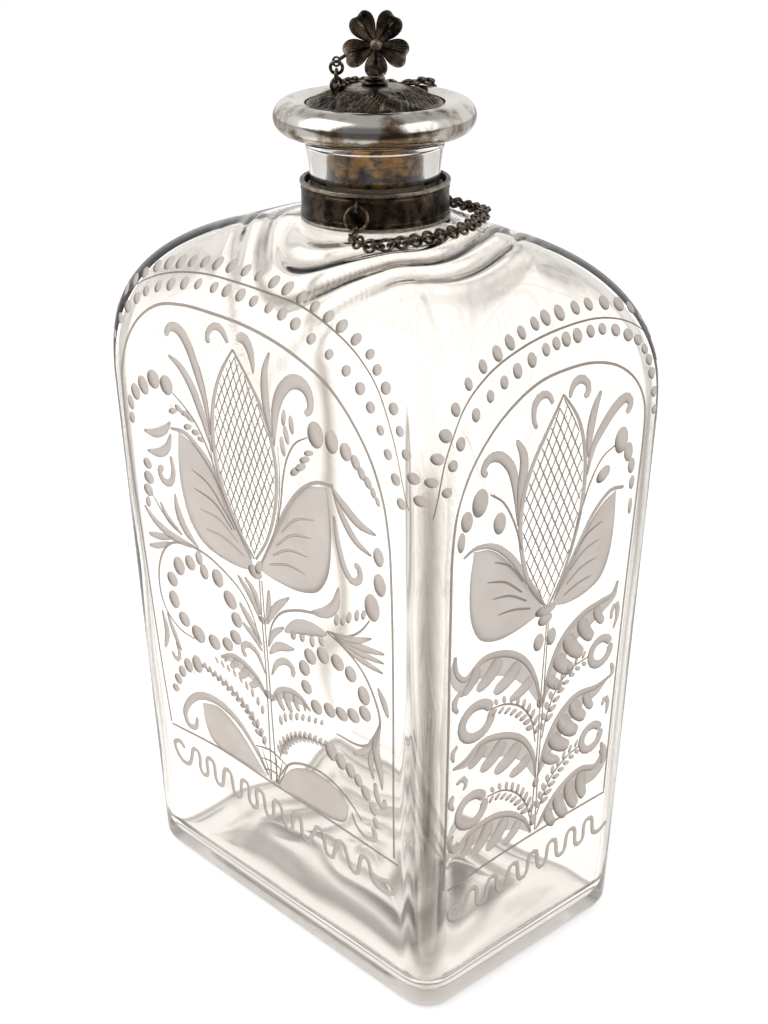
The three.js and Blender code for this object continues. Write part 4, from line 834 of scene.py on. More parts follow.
def leaf_spine(rows, hand, reach, spine):
    """Points, headings, paces and bends of a scrolled leaf's spine, and its depth: reach sin(pi t^0.85)^0.9."""
    line = spline(pairs(spine), rows)
    along = np.gradient(line, axis=0)
    heading = np.unwrap(np.arctan2(along[:, 1], along[:, 0]))
    pace = np.linalg.norm(along, axis=1)
    bend = hand * np.gradient(heading) / pace
    depth = reach * np.maximum(np.sin(np.pi * np.linspace(0, 1, rows) ** 0.85), 0) ** 0.9
    return line, heading, pace, bend, depth


def scroll_leaf(lobes, hand, reach, *spine):
    """The ground of one scrolled leaf as a closed sheet on the flat: rulings leave its spine and bend to its tip.

    A ruling goes to a share of the leaf's depth, where the lobes take over, and ends short of the bend's own middle.
    """
    line, heading, _, bend, depth = leaf_spine(lobes * LOBE_ROWS + 1, hand, reach, spine)
    far = np.minimum(LEAF_GROUND * depth, 0.6 / np.maximum(bend, 0.01))
    share = np.concatenate([np.linspace(-0.12, 1, 10), np.linspace(0.998, -0.118, 8)])
    turn = heading[:, None] + hand * np.radians(84 - 20 * np.maximum(share, 0))
    sheet = line[:, None] + (far[:, None] * share)[..., None] * np.stack([np.cos(turn), np.sin(turn)], -1)
    return closed_sheet(sheet, 10, 0.1 * np.abs(share) ** 6)


def leaf_lobes(lobes, hand, reach, *spine):
    """Cuts of one scrolled leaf's lobes: round-ended fingers that leave its spine side by side and bend to its tip.

    They point more nearly one way than the spine does, and the tip that curls back has none.
    """
    line, heading, pace, bend, depth = leaf_spine(lobes * LOBE_ROWS + 1, hand, reach, spine)
    cuts = []
    share = np.linspace(0.08, 1, 5)
    for row in range(3, lobes * LOBE_ROWS, LOBE_ROWS):
        if bend[row] < 0:
            continue
        swing = 0.7 * (heading[len(heading) // 2] - heading[row])
        turn = heading[row] + swing + hand * np.radians(LOBE_TURN[hand] - 26 * share)
        finger = line[row] + (depth[row] * share)[:, None] * np.stack([np.cos(turn), np.sin(turn)], -1)
        half = min(4.3 * pace[row] * abs(math.sin(turn[2] - heading[row])), 0.2 * depth[row])
        cuts.append((half, half, 0.65 * half, *finger.ravel()))
    return cuts


def wave_border(peaks, troughs, low, high, begin, finish_run):
    """Cut of a running wave: a line that goes over each peak and under each trough, with a hook at both ends."""
    turns = sorted([(x, high, -1) for x in peaks] + [(x, low, 1) for x in troughs])
    loop = ((-1.65, 1.9), (-1.2, 0.5), (0, 0), (1.2, 0.5), (1.65, 1.9))
    run = [(x + right, z + inwards * down) for x, z, inwards in turns for right, down in loop]
    return (*WAVE_LINE, *begin, *np.ravel(run), *finish_run)


def ring_cut(x, z, across, up, half_width):
    """Cut of a ring: an oval line that ends where it begins."""
    angle = np.linspace(0.3, 2 * np.pi + 0.3, 25)
    line = np.stack([x + across * np.cos(angle), z + up * np.sin(angle)], 1)
    return (half_width, half_width, half_width, *line.ravel())


def border_dots(outer, inner):
    """Dots of a double row; each is an oval that leans with the row's own direction."""
    dots = []
    for row in (outer, inner):
        points = np.array(row)
        along = np.degrees(np.arctan2(*np.gradient(points, axis=0).T[::-1]))
        size = 1.28 + 0.3 * np.sin(np.arange(len(points)) * 2.4) ** 2
        steep = np.abs(np.sin(np.radians(along)))
        dots += [
            (*p, k * (1.12 - 0.2 * s), k * 0.86, turn + 35) for p, k, s, turn in zip(points, size, steep, along)
        ]
    return dots


def engraved(name, side, cuts, dots, sheets, settings):
    """Puts cuts, dots and sheets on one face of the glass as one piece.

    Each point stands off the glass along its normal: rims by the lift and the groove's depth, the middle of a cut by
    the lift alone. The side beneath lies in the glass and closes each shape.
    """
    shapes = [carve(pairs(cut[3:]), cut[:3]) for cut in cuts]
    shapes += [dimple(dot) for dot in dots]
    shapes += sheets
    across, height, shade, dish, top = (np.concatenate([shape[k].ravel() for shape in shapes]) for k in range(5))
    counts = [shape[0].size for shape in shapes]
    firsts = np.concatenate([[0], np.cumsum(counts)[:-1]])
    faces = np.concatenate([shape[5] + first for shape, first in zip(shapes, firsts)])
    number = np.repeat(np.arange(len(counts)), counts)
    point = on_glass(side, across, height)
    step = 0.02
    right = on_glass(side, across + step, height) - on_glass(side, across - step, height)
    up = on_glass(side, across, height + step) - on_glass(side, across, height - step)
    normal = np.cross(right, up)
    normal /= np.linalg.norm(normal, axis=1)[:, None]
    lift = settings.lift / MM
    rise = lift + 0.001 * (number % 17) + settings.groove / MM * np.nan_to_num(dish)
    off = np.where((top > 0.5) & ~np.isnan(dish), rise, -lift)
    points = point + normal * off[:, None]
    marks = np.stack([shade, 0 * shade, top], 1)
    material = finish("wheel_ground_glass", ground_glass, settings)
    add_piece(name, points, faces, material, "bottle_body", marks=marks)


# Materials


def add_node(tree, kind, inputs=None, **settings):
    """Adds a node with its settings; an input is a value or the socket that it is linked from."""
    made = tree.nodes.new(kind)
    for key, value in settings.items():
        setattr(made, key, value)
    for key, value in (inputs or {}).items():
        if isinstance(value, bpy.types.NodeSocket):
            tree.links.new(value, made.inputs[key])
        else:
            made.inputs[key].default_value = value
    return made


def start_material(name):
    """An empty material with its tree, its shader and its Object coordinates in metres."""
    material = bpy.data.materials.new(name)
    material.use_nodes = True
    tree = material.node_tree
    shader = tree.nodes["Principled BSDF"]
    place = add_node(tree, "ShaderNodeTexCoord").outputs["Object"]
    return material, tree, shader, place


def soda_glass(settings):
    """Blown soda glass: clear, fire-polished, with slow waves and a faint uneven film, greyer where shade is painted.

    Mark X is 1 where the base rests on the paper, so the paper shows there; mark Y paints the shade of refraction.
    """
    material, tree, shader, place = start_material("blown_soda_glass")
    mark = add_node(tree, "ShaderNodeAttribute", attribute_name="mark").outputs["Vector"]
    marks = add_node(tree, "ShaderNodeSeparateXYZ", {"Vector": mark})
    # Base colour, darkened towards the Thick colour where mark Y paints the shade of refraction
    tone = add_node(
        tree,
        "ShaderNodeMix",
        {"Factor": marks.outputs["Y"], "A": linear("#f3f1ee"), "B": tuple(settings.thick)},
        data_type="RGBA",
    )
    tree.links.new(tone.outputs["Result"], shader.inputs["Base Color"])
    shader.inputs["Transmission Weight"].default_value = 1.0
    shader.inputs["IOR"].default_value = 1.5
    slow = add_node(tree, "ShaderNodeTexNoise", {"Vector": place, "Scale": 1 / 0.028, "Detail": 1.0})
    fine = add_node(tree, "ShaderNodeTexNoise", {"Vector": place, "Scale": 1 / 0.004, "Detail": 3.0})
    film = add_node(
        tree,
        "ShaderNodeMapRange",
        {"Value": fine.outputs["Fac"], "From Min": 0.4, "From Max": 0.8, "To Min": 0.0, "To Max": 0.05},
    )
    tree.links.new(film.outputs["Result"], shader.inputs["Roughness"])
    bump = add_node(
        tree, "ShaderNodeBump", {"Height": slow.outputs["Fac"], "Strength": 0.35, "Distance": 0.0011}
    )
    tree.links.new(bump.outputs["Normal"], shader.inputs["Normal"])
    depth = add_node(
        tree, "ShaderNodeVolumeAbsorption", {"Color": tuple(settings.tint), "Density": settings.density}
    )
    output = tree.nodes["Material Output"]
    tree.links.new(depth.outputs["Volume"], output.inputs["Volume"])
    # Where mark X lies the paper shows through; where mark Y lies the glass gives way to a see-through layer in painted
    # shade
    through = add_node(tree, "ShaderNodeBsdfTransparent", {"Color": tone.outputs["Result"]})
    painted_shade = add_node(tree, "ShaderNodeMath", {0: marks.outputs["Y"], 1: 0.95}, operation="MULTIPLY")
    clear = add_node(
        tree, "ShaderNodeMath", {0: marks.outputs["X"], 1: painted_shade.outputs["Value"]}, operation="MAXIMUM"
    )
    worn = add_node(
        tree, "ShaderNodeMixShader", {0: clear.outputs["Value"], 1: shader.outputs["BSDF"], 2: through.outputs["BSDF"]}
    )
    tree.links.new(worn.outputs["Shader"], output.inputs["Surface"])
    return material


def ground_glass(settings):
    """Glass ground by a copper wheel: matte and pale, darker on the shaded side of a cut, with fine wheel grain.

    Mark X is the shade, and Z is 0 beneath, 1 on a cut and 2 on a leaf's flat ground. From within the bottle the
    ground skin passes light and shows only faintly, so its underside is clear and the back of its top is thin.
    """
    material, tree, shader, place = start_material("wheel_ground_glass")
    mark = add_node(tree, "ShaderNodeAttribute", attribute_name="mark").outputs["Vector"]
    parts = add_node(tree, "ShaderNodeSeparateXYZ", {"Vector": mark})
    grain = add_node(tree, "ShaderNodeTexNoise", {"Vector": place, "Scale": 1 / 0.0009, "Detail": 4.0})
    cloud = add_node(tree, "ShaderNodeTexNoise", {"Vector": place, "Scale": 1 / 0.009, "Detail": 3.0})
    flat = add_node(
        tree, "ShaderNodeMapRange", {"Value": parts.outputs["Z"], "From Min": 1.2, "From Max": 1.8}
    )
    kind = add_node(
        tree,
        "ShaderNodeMix",
        {"Factor": flat.outputs["Result"], "A": tuple(settings.cut), "B": tuple(settings.ground)},
        data_type="RGBA",
    )
    wear = add_node(
        tree,
        "ShaderNodeMapRange",
        {"Value": cloud.outputs["Fac"], "From Min": 0.3, "From Max": 0.75, "To Min": 0.0, "To Max": 0.35},
    )
    dusty = add_node(
        tree,
        "ShaderNodeMix",
        {"Factor": wear.outputs["Result"], "A": kind.outputs["Result"], "B": linear("#ada298")},
        data_type="RGBA",
    )
    shaded = add_node(
        tree,
        "ShaderNodeMix",
        {"Factor": parts.outputs["X"], "A": dusty.outputs["Result"], "B": tuple(settings.shade)},
        data_type="RGBA",
    )
    tree.links.new(shaded.outputs["Result"], shader.inputs["Base Color"])
    shader.inputs["Roughness"].default_value = 0.8
    shader.inputs["IOR"].default_value = 1.5
    bump = add_node(
        tree, "ShaderNodeBump", {"Height": grain.outputs["Fac"], "Strength": 0.2, "Distance": 0.0001}
    )
    tree.links.new(bump.outputs["Normal"], shader.inputs["Normal"])
    skin = add_node(
        tree, "ShaderNodeMapRange", {"Value": parts.outputs["Z"], "From Min": 0.86, "From Max": 0.98, "To Max": 0.95}
    )
    behind = add_node(tree, "ShaderNodeNewGeometry").outputs["Backfacing"]
    thin = add_node(
        tree, "ShaderNodeMapRange", {"Value": behind, "To Min": 1.0, "To Max": 0.09}
    )
    cover = add_node(
        tree, "ShaderNodeMath", {0: skin.outputs["Result"], 1: thin.outputs["Result"]}, operation="MULTIPLY"
    )
    tree.links.new(cover.outputs["Value"], shader.inputs["Alpha"])
    return material


def silver(name, dark, middle, light, dark_share, roughness, patch, speck):
    """Silver in three states, mixed by patches and specks of tarnish; mark X rubs it bright, mark Y adds tarnish.

    Patches are a few millimetres wide and specks a fraction of one, so the surface is never one even colour.
    """
    material, tree, shader, place = start_material(name)
    mark = add_node(tree, "ShaderNodeAttribute", attribute_name="mark").outputs["Vector"]
    marks = add_node(tree, "ShaderNodeSeparateXYZ", {"Vector": mark})
    rub, film = marks.outputs["X"], marks.outputs["Y"]
    cloud = add_node(
        tree, "ShaderNodeTexNoise", {"Vector": place, "Scale": 1 / patch, "Detail": 5.0, "Roughness": 0.62}
    )
    fleck = add_node(
        tree, "ShaderNodeTexNoise", {"Vector": place, "Scale": 1 / speck, "Detail": 4.0, "Roughness": 0.7}
    )
    clean = add_node(tree, "ShaderNodeMath", {0: cloud.outputs["Fac"], 1: film}, operation="SUBTRACT")
    patches = add_node(
        tree,
        "ShaderNodeMapRange",
        {"Value": clean.outputs["Value"], "From Min": dark_share - 0.1, "From Max": dark_share + 0.12},
        interpolation_type="SMOOTHSTEP",
    )
    first = add_node(
        tree, "ShaderNodeMix", {"Factor": patches.outputs["Result"], "A": dark, "B": middle}, data_type="RGBA"
    )
    bare = add_node(tree, "ShaderNodeMath", {0: fleck.outputs["Fac"], 1: rub}, operation="ADD")
    worn = add_node(
        tree,
        "ShaderNodeMapRange",
        {"Value": bare.outputs["Value"], "From Min": 0.58, "From Max": 1.15},
        interpolation_type="SMOOTHSTEP",
    )
    second = add_node(
        tree,
        "ShaderNodeMix",
        {"Factor": worn.outputs["Result"], "A": first.outputs["Result"], "B": light},
        data_type="RGBA",
    )
    tree.links.new(second.outputs["Result"], shader.inputs["Base Color"])
    shader.inputs["Metallic"].default_value = 1.0
    rough = add_node(
        tree,
        "ShaderNodeMapRange",
        {
            "Value": fleck.outputs["Fac"],
            "From Min": 0.3,
            "From Max": 0.7,
            "To Min": roughness * 1.35,
            "To Max": roughness * 0.75,
        },
    )
    tree.links.new(rough.outputs["Result"], shader.inputs["Roughness"])
    bump = add_node(
        tree, "ShaderNodeBump", {"Height": fleck.outputs["Fac"], "Strength": 0.25, "Distance": speck * 0.12}
    )
    tree.links.new(bump.outputs["Normal"], shader.inputs["Normal"])
    return material


def oxidised_silver(settings):
    """Cast silver, long unpolished: near black and brown, with a dull gleam where it is rubbed."""
    dark, middle, light = tuple(settings.tarnish), tuple(settings.brown), tuple(settings.worn)
    return silver("oxidised_silver", dark, middle, light, 0.5, 0.32, patch=0.0038, speck=0.0011)


def buffed_silver(settings):
    """Spun silver, polished by handling: bright, with a thin yellow-brown film in patches."""
    dark, middle, light = linear("#6f5c47"), tuple(settings.bright), linear("#e9e5de")
    return silver("buffed_silver", dark, middle, light, 0.4, 0.15, patch=0.007, speck=0.0012)


def fire_gilt_silver(settings):
    """Fire-gilt silver, worn: dull gold broken by brown and black specks."""
    dark, middle, light = linear("#160f08"), tuple(settings.gilding), linear("#c0924a")
    return silver("fire_gilt_silver", dark, middle, light, 0.48, 0.3, patch=0.0026, speck=0.0006)


def bedding_plaster():
    """Plaster of Paris: chalky, off-white and granular."""
    material, tree, shader, place = start_material("bedding_plaster")
    grain = add_node(tree, "ShaderNodeTexNoise", {"Vector": place, "Scale": 1 / 0.0008, "Detail": 4.0})
    tone = add_node(
        tree,
        "ShaderNodeMix",
        {"Factor": grain.outputs["Fac"], "A": linear("#b9b09f"), "B": linear("#dad3c4")},
        data_type="RGBA",
    )
    tree.links.new(tone.outputs["Result"], shader.inputs["Base Color"])
    shader.inputs["Roughness"].default_value = 0.9
    bump = add_node(tree, "ShaderNodeBump", {"Height": grain.outputs["Fac"], "Strength": 0.5, "Distance": 0.0002})
    tree.links.new(bump.outputs["Normal"], shader.inputs["Normal"])
    return material


def floor_paper(settings):
    """Matte white paper sweep: it takes shadows, and shows as white straight on, in metal and through glass.

    Reflections of its far front and sides are dim, as if the paper ended there and the unlit room began.
    """
    material, tree, shader, place = start_material("white_paper_floor")
    tree.nodes.remove(shader)
    grain = add_node(tree, "ShaderNodeTexNoise", {"Vector": place, "Scale": 1 / 0.004, "Detail": 3.0})
    tone = add_node(
        tree,
        "ShaderNodeMix",
        {"Factor": grain.outputs["Fac"], "A": tuple(settings.floor), "B": linear("#ffffff")},
        data_type="RGBA",
    )
    paper = add_node(tree, "ShaderNodeBsdfDiffuse", {"Color": tone.outputs["Result"]})
    path = add_node(tree, "ShaderNodeLightPath")
    seen = add_node(
        tree,
        "ShaderNodeMath",
        {0: path.outputs["Is Camera Ray"], 1: path.outputs["Is Glossy Ray"]},
        operation="MAXIMUM",
    )
    straight = add_node(tree, "ShaderNodeMath", {0: seen.outputs["Value"], 1: 0.5}, operation="MULTIPLY")
    lift = add_node(
        tree,
        "ShaderNodeMath",
        {0: path.outputs["Is Transmission Ray"], 1: 0.5, 2: straight.outputs["Value"]},
        operation="MULTIPLY_ADD",
    )
    glow = add_node(tree, "ShaderNodeEmission", {"Strength": lift.outputs["Value"]})
    both = add_node(tree, "ShaderNodeAddShader", {0: paper.outputs["BSDF"], 1: glow.outputs["Emission"]})
    spot = add_node(tree, "ShaderNodeSeparateXYZ", {"Vector": place})
    ahead = add_node(tree, "ShaderNodeMath", {0: spot.outputs["X"], 1: spot.outputs["Y"]}, operation="SUBTRACT")
    far = add_node(
        tree,
        "ShaderNodeMapRange",
        {"Value": ahead.outputs["Value"], "From Min": 0.12, "From Max": 0.4, "To Min": 0.0, "To Max": 0.92},
        interpolation_type="SMOOTHSTEP",
    )
    solid = add_node(tree, "ShaderNodeMath", {0: 1.0, 1: path.outputs["Is Transmission Ray"]}, operation="SUBTRACT")
    front = add_node(
        tree, "ShaderNodeMath", {0: far.outputs["Result"], 1: solid.outputs["Value"]}, operation="MULTIPLY"
    )
    over = add_node(tree, "ShaderNodeMath", {0: spot.outputs["X"], 1: spot.outputs["Y"]}, operation="ADD")
    side = add_node(tree, "ShaderNodeMath", {0: over.outputs["Value"]}, operation="ABSOLUTE")
    beside = add_node(
        tree,
        "ShaderNodeMapRange",
        {"Value": side.outputs["Value"], "From Min": 0.24, "From Max": 0.46, "To Min": 0.0, "To Max": 0.45},
        interpolation_type="SMOOTHSTEP",
    )
    most = add_node(
        tree, "ShaderNodeMath", {0: front.outputs["Value"], 1: beside.outputs["Result"]}, operation="MAXIMUM"
    )
    dim = add_node(
        tree, "ShaderNodeMath", {0: most.outputs["Value"], 1: path.outputs["Is Glossy Ray"]}, operation="MULTIPLY"
    )
    room = add_node(tree, "ShaderNodeEmission", {"Color": linear("#2a2521")})
    sweep = add_node(
        tree, "ShaderNodeMixShader", {0: dim.outputs["Value"], 1: both.outputs["Shader"], 2: room.outputs["Emission"]}
    )
    tree.links.new(sweep.outputs["Shader"], tree.nodes["Material Output"].inputs["Surface"])
    return material


def finish(name, make, *settings):
    """The material of that name, made on first use."""
    return bpy.data.materials.get(name) or make(*settings)


# Pieces


class DECANTER_OT_glass(bpy.types.Operator):
    """Makes the glass bottle."""

    bl_idname = "decanter.glass"
    bl_label = "Glass bottle"

    def execute(self, context):
        settings = context.scene.decanter_glass
        points, marks = glass_points(settings)
        faces = grid_faces(*points.shape[:2], wrap_columns=True)
        glass = finish("blown_soda_glass", soda_glass, settings)
        add_piece("glass_bottle", points, faces, glass, "bottle_body", ["bottle"], marks)
        return {"FINISHED"}


class DECANTER_OT_engraving(bpy.types.Operator):
    """Cuts the border, the tulip and the sprays into the four faces; opposite faces are alike."""

    bl_idname = "decanter.engraving"
    bl_label = "Wheel engraving"

    def execute(self, context):
        settings = context.scene.decanter_engraving
        wide = (
            (
                "border",
                WIDE_BORDER + [wave_border(WIDE_PEAKS, WIDE_TROUGHS, *WIDE_WAVE)],
                border_dots(WIDE_OUTER_DOTS, WIDE_INNER_DOTS),
                [],
            ),
            (
                "tulip",
                WIDE_TULIP + hatching(WIDE_LENS, 2.15, 0.5),
                WIDE_TULIP_DOTS,
                [meadow(edges) for edges in WIDE_LEAVES],
            ),
            (
                "sprays",
                WIDE_SPRAYS
                + sum((leaf_lobes(*leaf) for leaf in WIDE_SCROLL_LEAVES), [])
                + [(0.3, 0.8, 0.4, *leaf[3:]) for leaf in WIDE_SCROLL_LEAVES],
                WIDE_SPRAY_DOTS + sum((fern(*stalk) for stalk in WIDE_FERNS), []),
                [scroll_leaf(*leaf) for leaf in WIDE_SCROLL_LEAVES],
            ),
        )
        narrow = (
            (
                "border",
                NARROW_BORDER + [wave_border(NARROW_PEAKS, NARROW_TROUGHS, *NARROW_WAVE)],
                border_dots(NARROW_OUTER_DOTS, NARROW_INNER_DOTS),
                [],
            ),
            (
                "tulip",
                NARROW_TULIP + hatching(NARROW_LENS, 2.5, 0.55),
                NARROW_TULIP_DOTS,
                [meadow(edges) for edges in NARROW_LEAVES],
            ),
            (
                "sprays",
                NARROW_SPRAYS
                + [ring_cut(*ring) for ring in NARROW_RINGS]
                + sum((leaf_lobes(*leaf) for leaf in NARROW_SCROLL_LEAVES), [])
                + [(0.3, 0.9, 0.5, *leaf[3:]) for leaf in NARROW_SCROLL_LEAVES],
                NARROW_SPRAY_DOTS + sum((fern(*stalk) for stalk in NARROW_FERNS), []),
                [scroll_leaf(*leaf) for leaf in NARROW_SCROLL_LEAVES],
            ),
        )
        for side, face in enumerate(("front", "right", "back", "left")):
            for part, cuts, dots, sheets in narrow if side % 2 else wide:
                engraved(f"{face}_{part}", side, cuts, dots, sheets, settings)
        return {"FINISHED"}


class DECANTER_OT_collar(bpy.types.Operator):
    """Makes the silver collar, its bedding, and the staple that holds the chain's ring."""

    bl_idname = "decanter.collar"
    bl_label = "Neck collar"

    def execute(self, context):
        dark = finish("oxidised_silver", oxidised_silver, context.scene.decanter_silver)
        bead, top, bottom = COLLAR_RADIUS + 0.3, COLLAR_TOP, COLLAR_BOTTOM
        profile = eased(
            [
                (COLLAR_INNER, bottom),
                (bead, bottom),
                (bead, bottom + 0.7),
                (COLLAR_RADIUS, bottom + 0.95),
                (COLLAR_RADIUS, bottom + 1.5),
                (COLLAR_RADIUS + 0.12, bottom + 1.6),
                (COLLAR_RADIUS + 0.12, bottom + 1.85),
                (COLLAR_RADIUS, bottom + 1.95),
                (COLLAR_RADIUS, top - 1.95),
                (COLLAR_RADIUS + 0.12, top - 1.85),
                (COLLAR_RADIUS + 0.12, top - 1.6),
                (COLLAR_RADIUS, top - 1.5),
                (COLLAR_RADIUS, top - 0.95),
                (bead, top - 0.7),
                (bead, top),
                (COLLAR_INNER, top),
            ],
            0.14,
        )
        points = turned(profile, 144)
        proud = np.hypot(points[..., 0], points[..., 1]) - COLLAR_RADIUS - 0.1
        rub = np.clip(proud / 0.2, 0, 1)[..., None] * COLLAR_RUB
        faces = grid_faces(*points.shape[:2], True, True)
        add_piece("collar_band", points, faces, dark, "bottle_body", ["neck_collar"], rub)
        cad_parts["collar_bedding"].data.materials.clear()
        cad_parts["collar_bedding"].data.materials.append(finish("bedding_plaster", bedding_plaster))

        turn = FLOWER_TURN + STAPLE_TURN
        legs = [(17.3, 187.8), (17.75, 187.8), (18.2, 187.8), (18.98, 187.48), (19.3, 186.7), (18.98, 185.92)]
        legs += [(18.2, 185.6), (17.75, 185.6), (17.3, 185.6)]
        line = spline(legs, 30)
        path = np.stack([line[:, 0] * math.cos(turn), line[:, 0] * math.sin(turn), line[:, 1]], 1)
        points, faces = tube(path, STAPLE_WIRE, 12)
        add_piece(
            "chain_staple", points, faces, dark, "bottle_body", ["collar_staple"], STAPLE_RUB
        )
        return {"FINISHED"}


def node_ring(name):
    """Middle and two side vectors of a CAD ring: its middle point and the main directions of its points."""
    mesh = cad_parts[name].data
    points = np.empty(len(mesh.vertices) * 3)
    mesh.vertices.foreach_get("co", points)
    points = np.unique(np.round(points.reshape(-1, 3) / MM, 4), axis=0)
    middle = (points.min(0) + points.max(0)) / 2
    _, _, axes = np.linalg.svd(points - middle)
    return middle, axes[0], axes[1]


def rings(middles, first, second, radius, wire, steps, sides):
    """Wire rings: middle + (radius + wire cos b)(first cos a + second sin a) + wire sin b across."""
    a = np.arange(steps) / steps * 2 * np.pi
    b = np.arange(sides) / sides * 2 * np.pi
    spoke = first[:, None] * np.cos(a)[:, None] + second[:, None] * np.sin(a)[:, None]
    across = np.cross(first, second)[:, None, None]
    reach = (radius + wire * np.cos(b))[:, None]
    points = middles[:, None, None] + spoke[:, :, None] * reach + across * (wire * np.sin(b))[:, None]
    one = grid_faces(steps, sides, True, True)
    faces = (one + np.arange(len(middles))[:, None, None] * steps * sides).reshape(-1, 4)
    return points, faces


def hanging_route():
    """Middle line of the chain from the shoulder's last link to the flower's lug, in millimetres."""

    def polar(turn, reach, height):
        angle = FLOWER_TURN + math.radians(turn)
        return [reach * math.cos(angle), reach * math.sin(angle), height]

    last, _, _ = node_ring("shoulder_link_34")
    clear, low = ROLL_THICKNESS + CHAIN_LIFT, ROLL_THICKNESS + DOME_LIFT - SETTLE
    foot = last[2] - 0.6
    rise = ROLL_MIDDLE - LINK_RADIUS - foot
    points = [last] + [polar(ROUTE_CROSSING - a, ROLL_CORE + clear, foot + rise * s) for a, s in ROUTE_BEHIND]
    for lean, away in ((25, clear), (55, (clear + low) / 2), (90, low)):
        reach = ROLL_CORE + away * math.cos(math.radians(lean))
        points.append(polar(ROUTE_CROSSING, reach, ROLL_MIDDLE + away * math.sin(math.radians(lean))))
    for right, front, lift in ROUTE_ON_DOME:
        reach = math.hypot(right, front)
        height = DOME_BASE + DOME_RISE * (1 - (reach / DOME_RADIUS) ** 2) + lift - SETTLE
        points.append(polar(math.degrees(math.atan2(right, front)), reach, height))
    lug, _, _ = node_ring("petal_lug")
    points.append(lug - [0, 0, 1.3])
    return np.array(points)


def links_along(path, last_side):
    """Middles and side vectors of links at one pitch along a path, rolled to one side and the other in turn.

    Links on the stopper roll about the dome's upright and lie flatter than the others.
    """
    total = np.linalg.norm(np.diff(spline(path, 800), axis=0), axis=1).sum()
    count = int(round(total / LINK_PITCH))
    line = spline(path, count * 8 + 1)
    along = np.gradient(line, axis=0)
    along /= np.linalg.norm(along, axis=1)[:, None]
    sides = np.empty_like(along)
    side = last_side
    for i, direction in enumerate(along):
        side = side - direction * (side @ direction)
        side = side / np.linalg.norm(side)
        sides[i] = side
    middles, along, sides = line[8::8], along[8::8], sides[8::8]
    flat = middles[:, 2:] > ROLL_MIDDLE + 2
    flat[-2:] = False
    upright = middles * [1, 1, 0] * 2 * DOME_RISE / DOME_RADIUS**2 + [0, 0, 1]
    upright -= along * (along * upright).sum(1)[:, None]
    sides = np.where(flat, upright / np.linalg.norm(upright, axis=1)[:, None], sides)
    turn = np.where(flat[:, 0], 90 - DOME_ROLL, LINK_ROLL)
    roll = np.radians(np.where(np.arange(len(middles)) % 2, turn, -turn))[:, None]
    across = np.cross(along, sides)
    return middles, along, sides * np.cos(roll) + across * np.sin(roll)


class DECANTER_OT_chain(bpy.types.Operator):
    """Makes the jump ring and every link of the chain."""

    bl_idname = "decanter.chain"
    bl_label = "Chain"

    def execute(self, context):
        settings = context.scene.decanter_silver
        dark = finish("oxidised_silver", oxidised_silver, settings)
        wire = settings.link_wire / MM / 2

        def place(name, middles, first, second, radius, thick, body, nodes):
            points, faces = rings(np.array(middles), np.array(first), np.array(second), radius, thick, 28, 10)
            add_piece(name, points, faces, dark, body, nodes, CHAIN_RUB)

        for name, body, stem, count in (
            ("ring_links", "front_run", "front_link", 7),
            ("shoulder_links", "shoulder_run", "shoulder_link", 34),
        ):
            nodes = [f"{stem}_{i:02d}" for i in range(1, count + 1)]
            place(name, *zip(*[node_ring(node) for node in nodes]), LINK_RADIUS, wire, body, nodes)
        place("collar_ring", *zip(node_ring("jump_ring")), JUMP_RADIUS, JUMP_WIRE, "front_run", ["jump_ring"])
        place("flower_lug", *zip(node_ring("petal_lug")), LUG_RADIUS, LUG_WIRE, "stopper", ["petal_lug"])

        _, first, second = node_ring("shoulder_link_34")
        middles, along, sides = links_along(hanging_route(), np.cross(first, second))
        cut = np.argmax(middles[:, 2] > ROLL_MIDDLE - LINK_RADIUS)
        for name, body, node, part in (
            ("hanging_links", "back_run", "chain_back_run", slice(None, cut)),
            ("stopper_links", "stopper", "chain_top_run", slice(cut, None)),
        ):
            place(name, middles[part], along[part], sides[part], LINK_RADIUS, wire, body, [node])
        return {"FINISHED"}


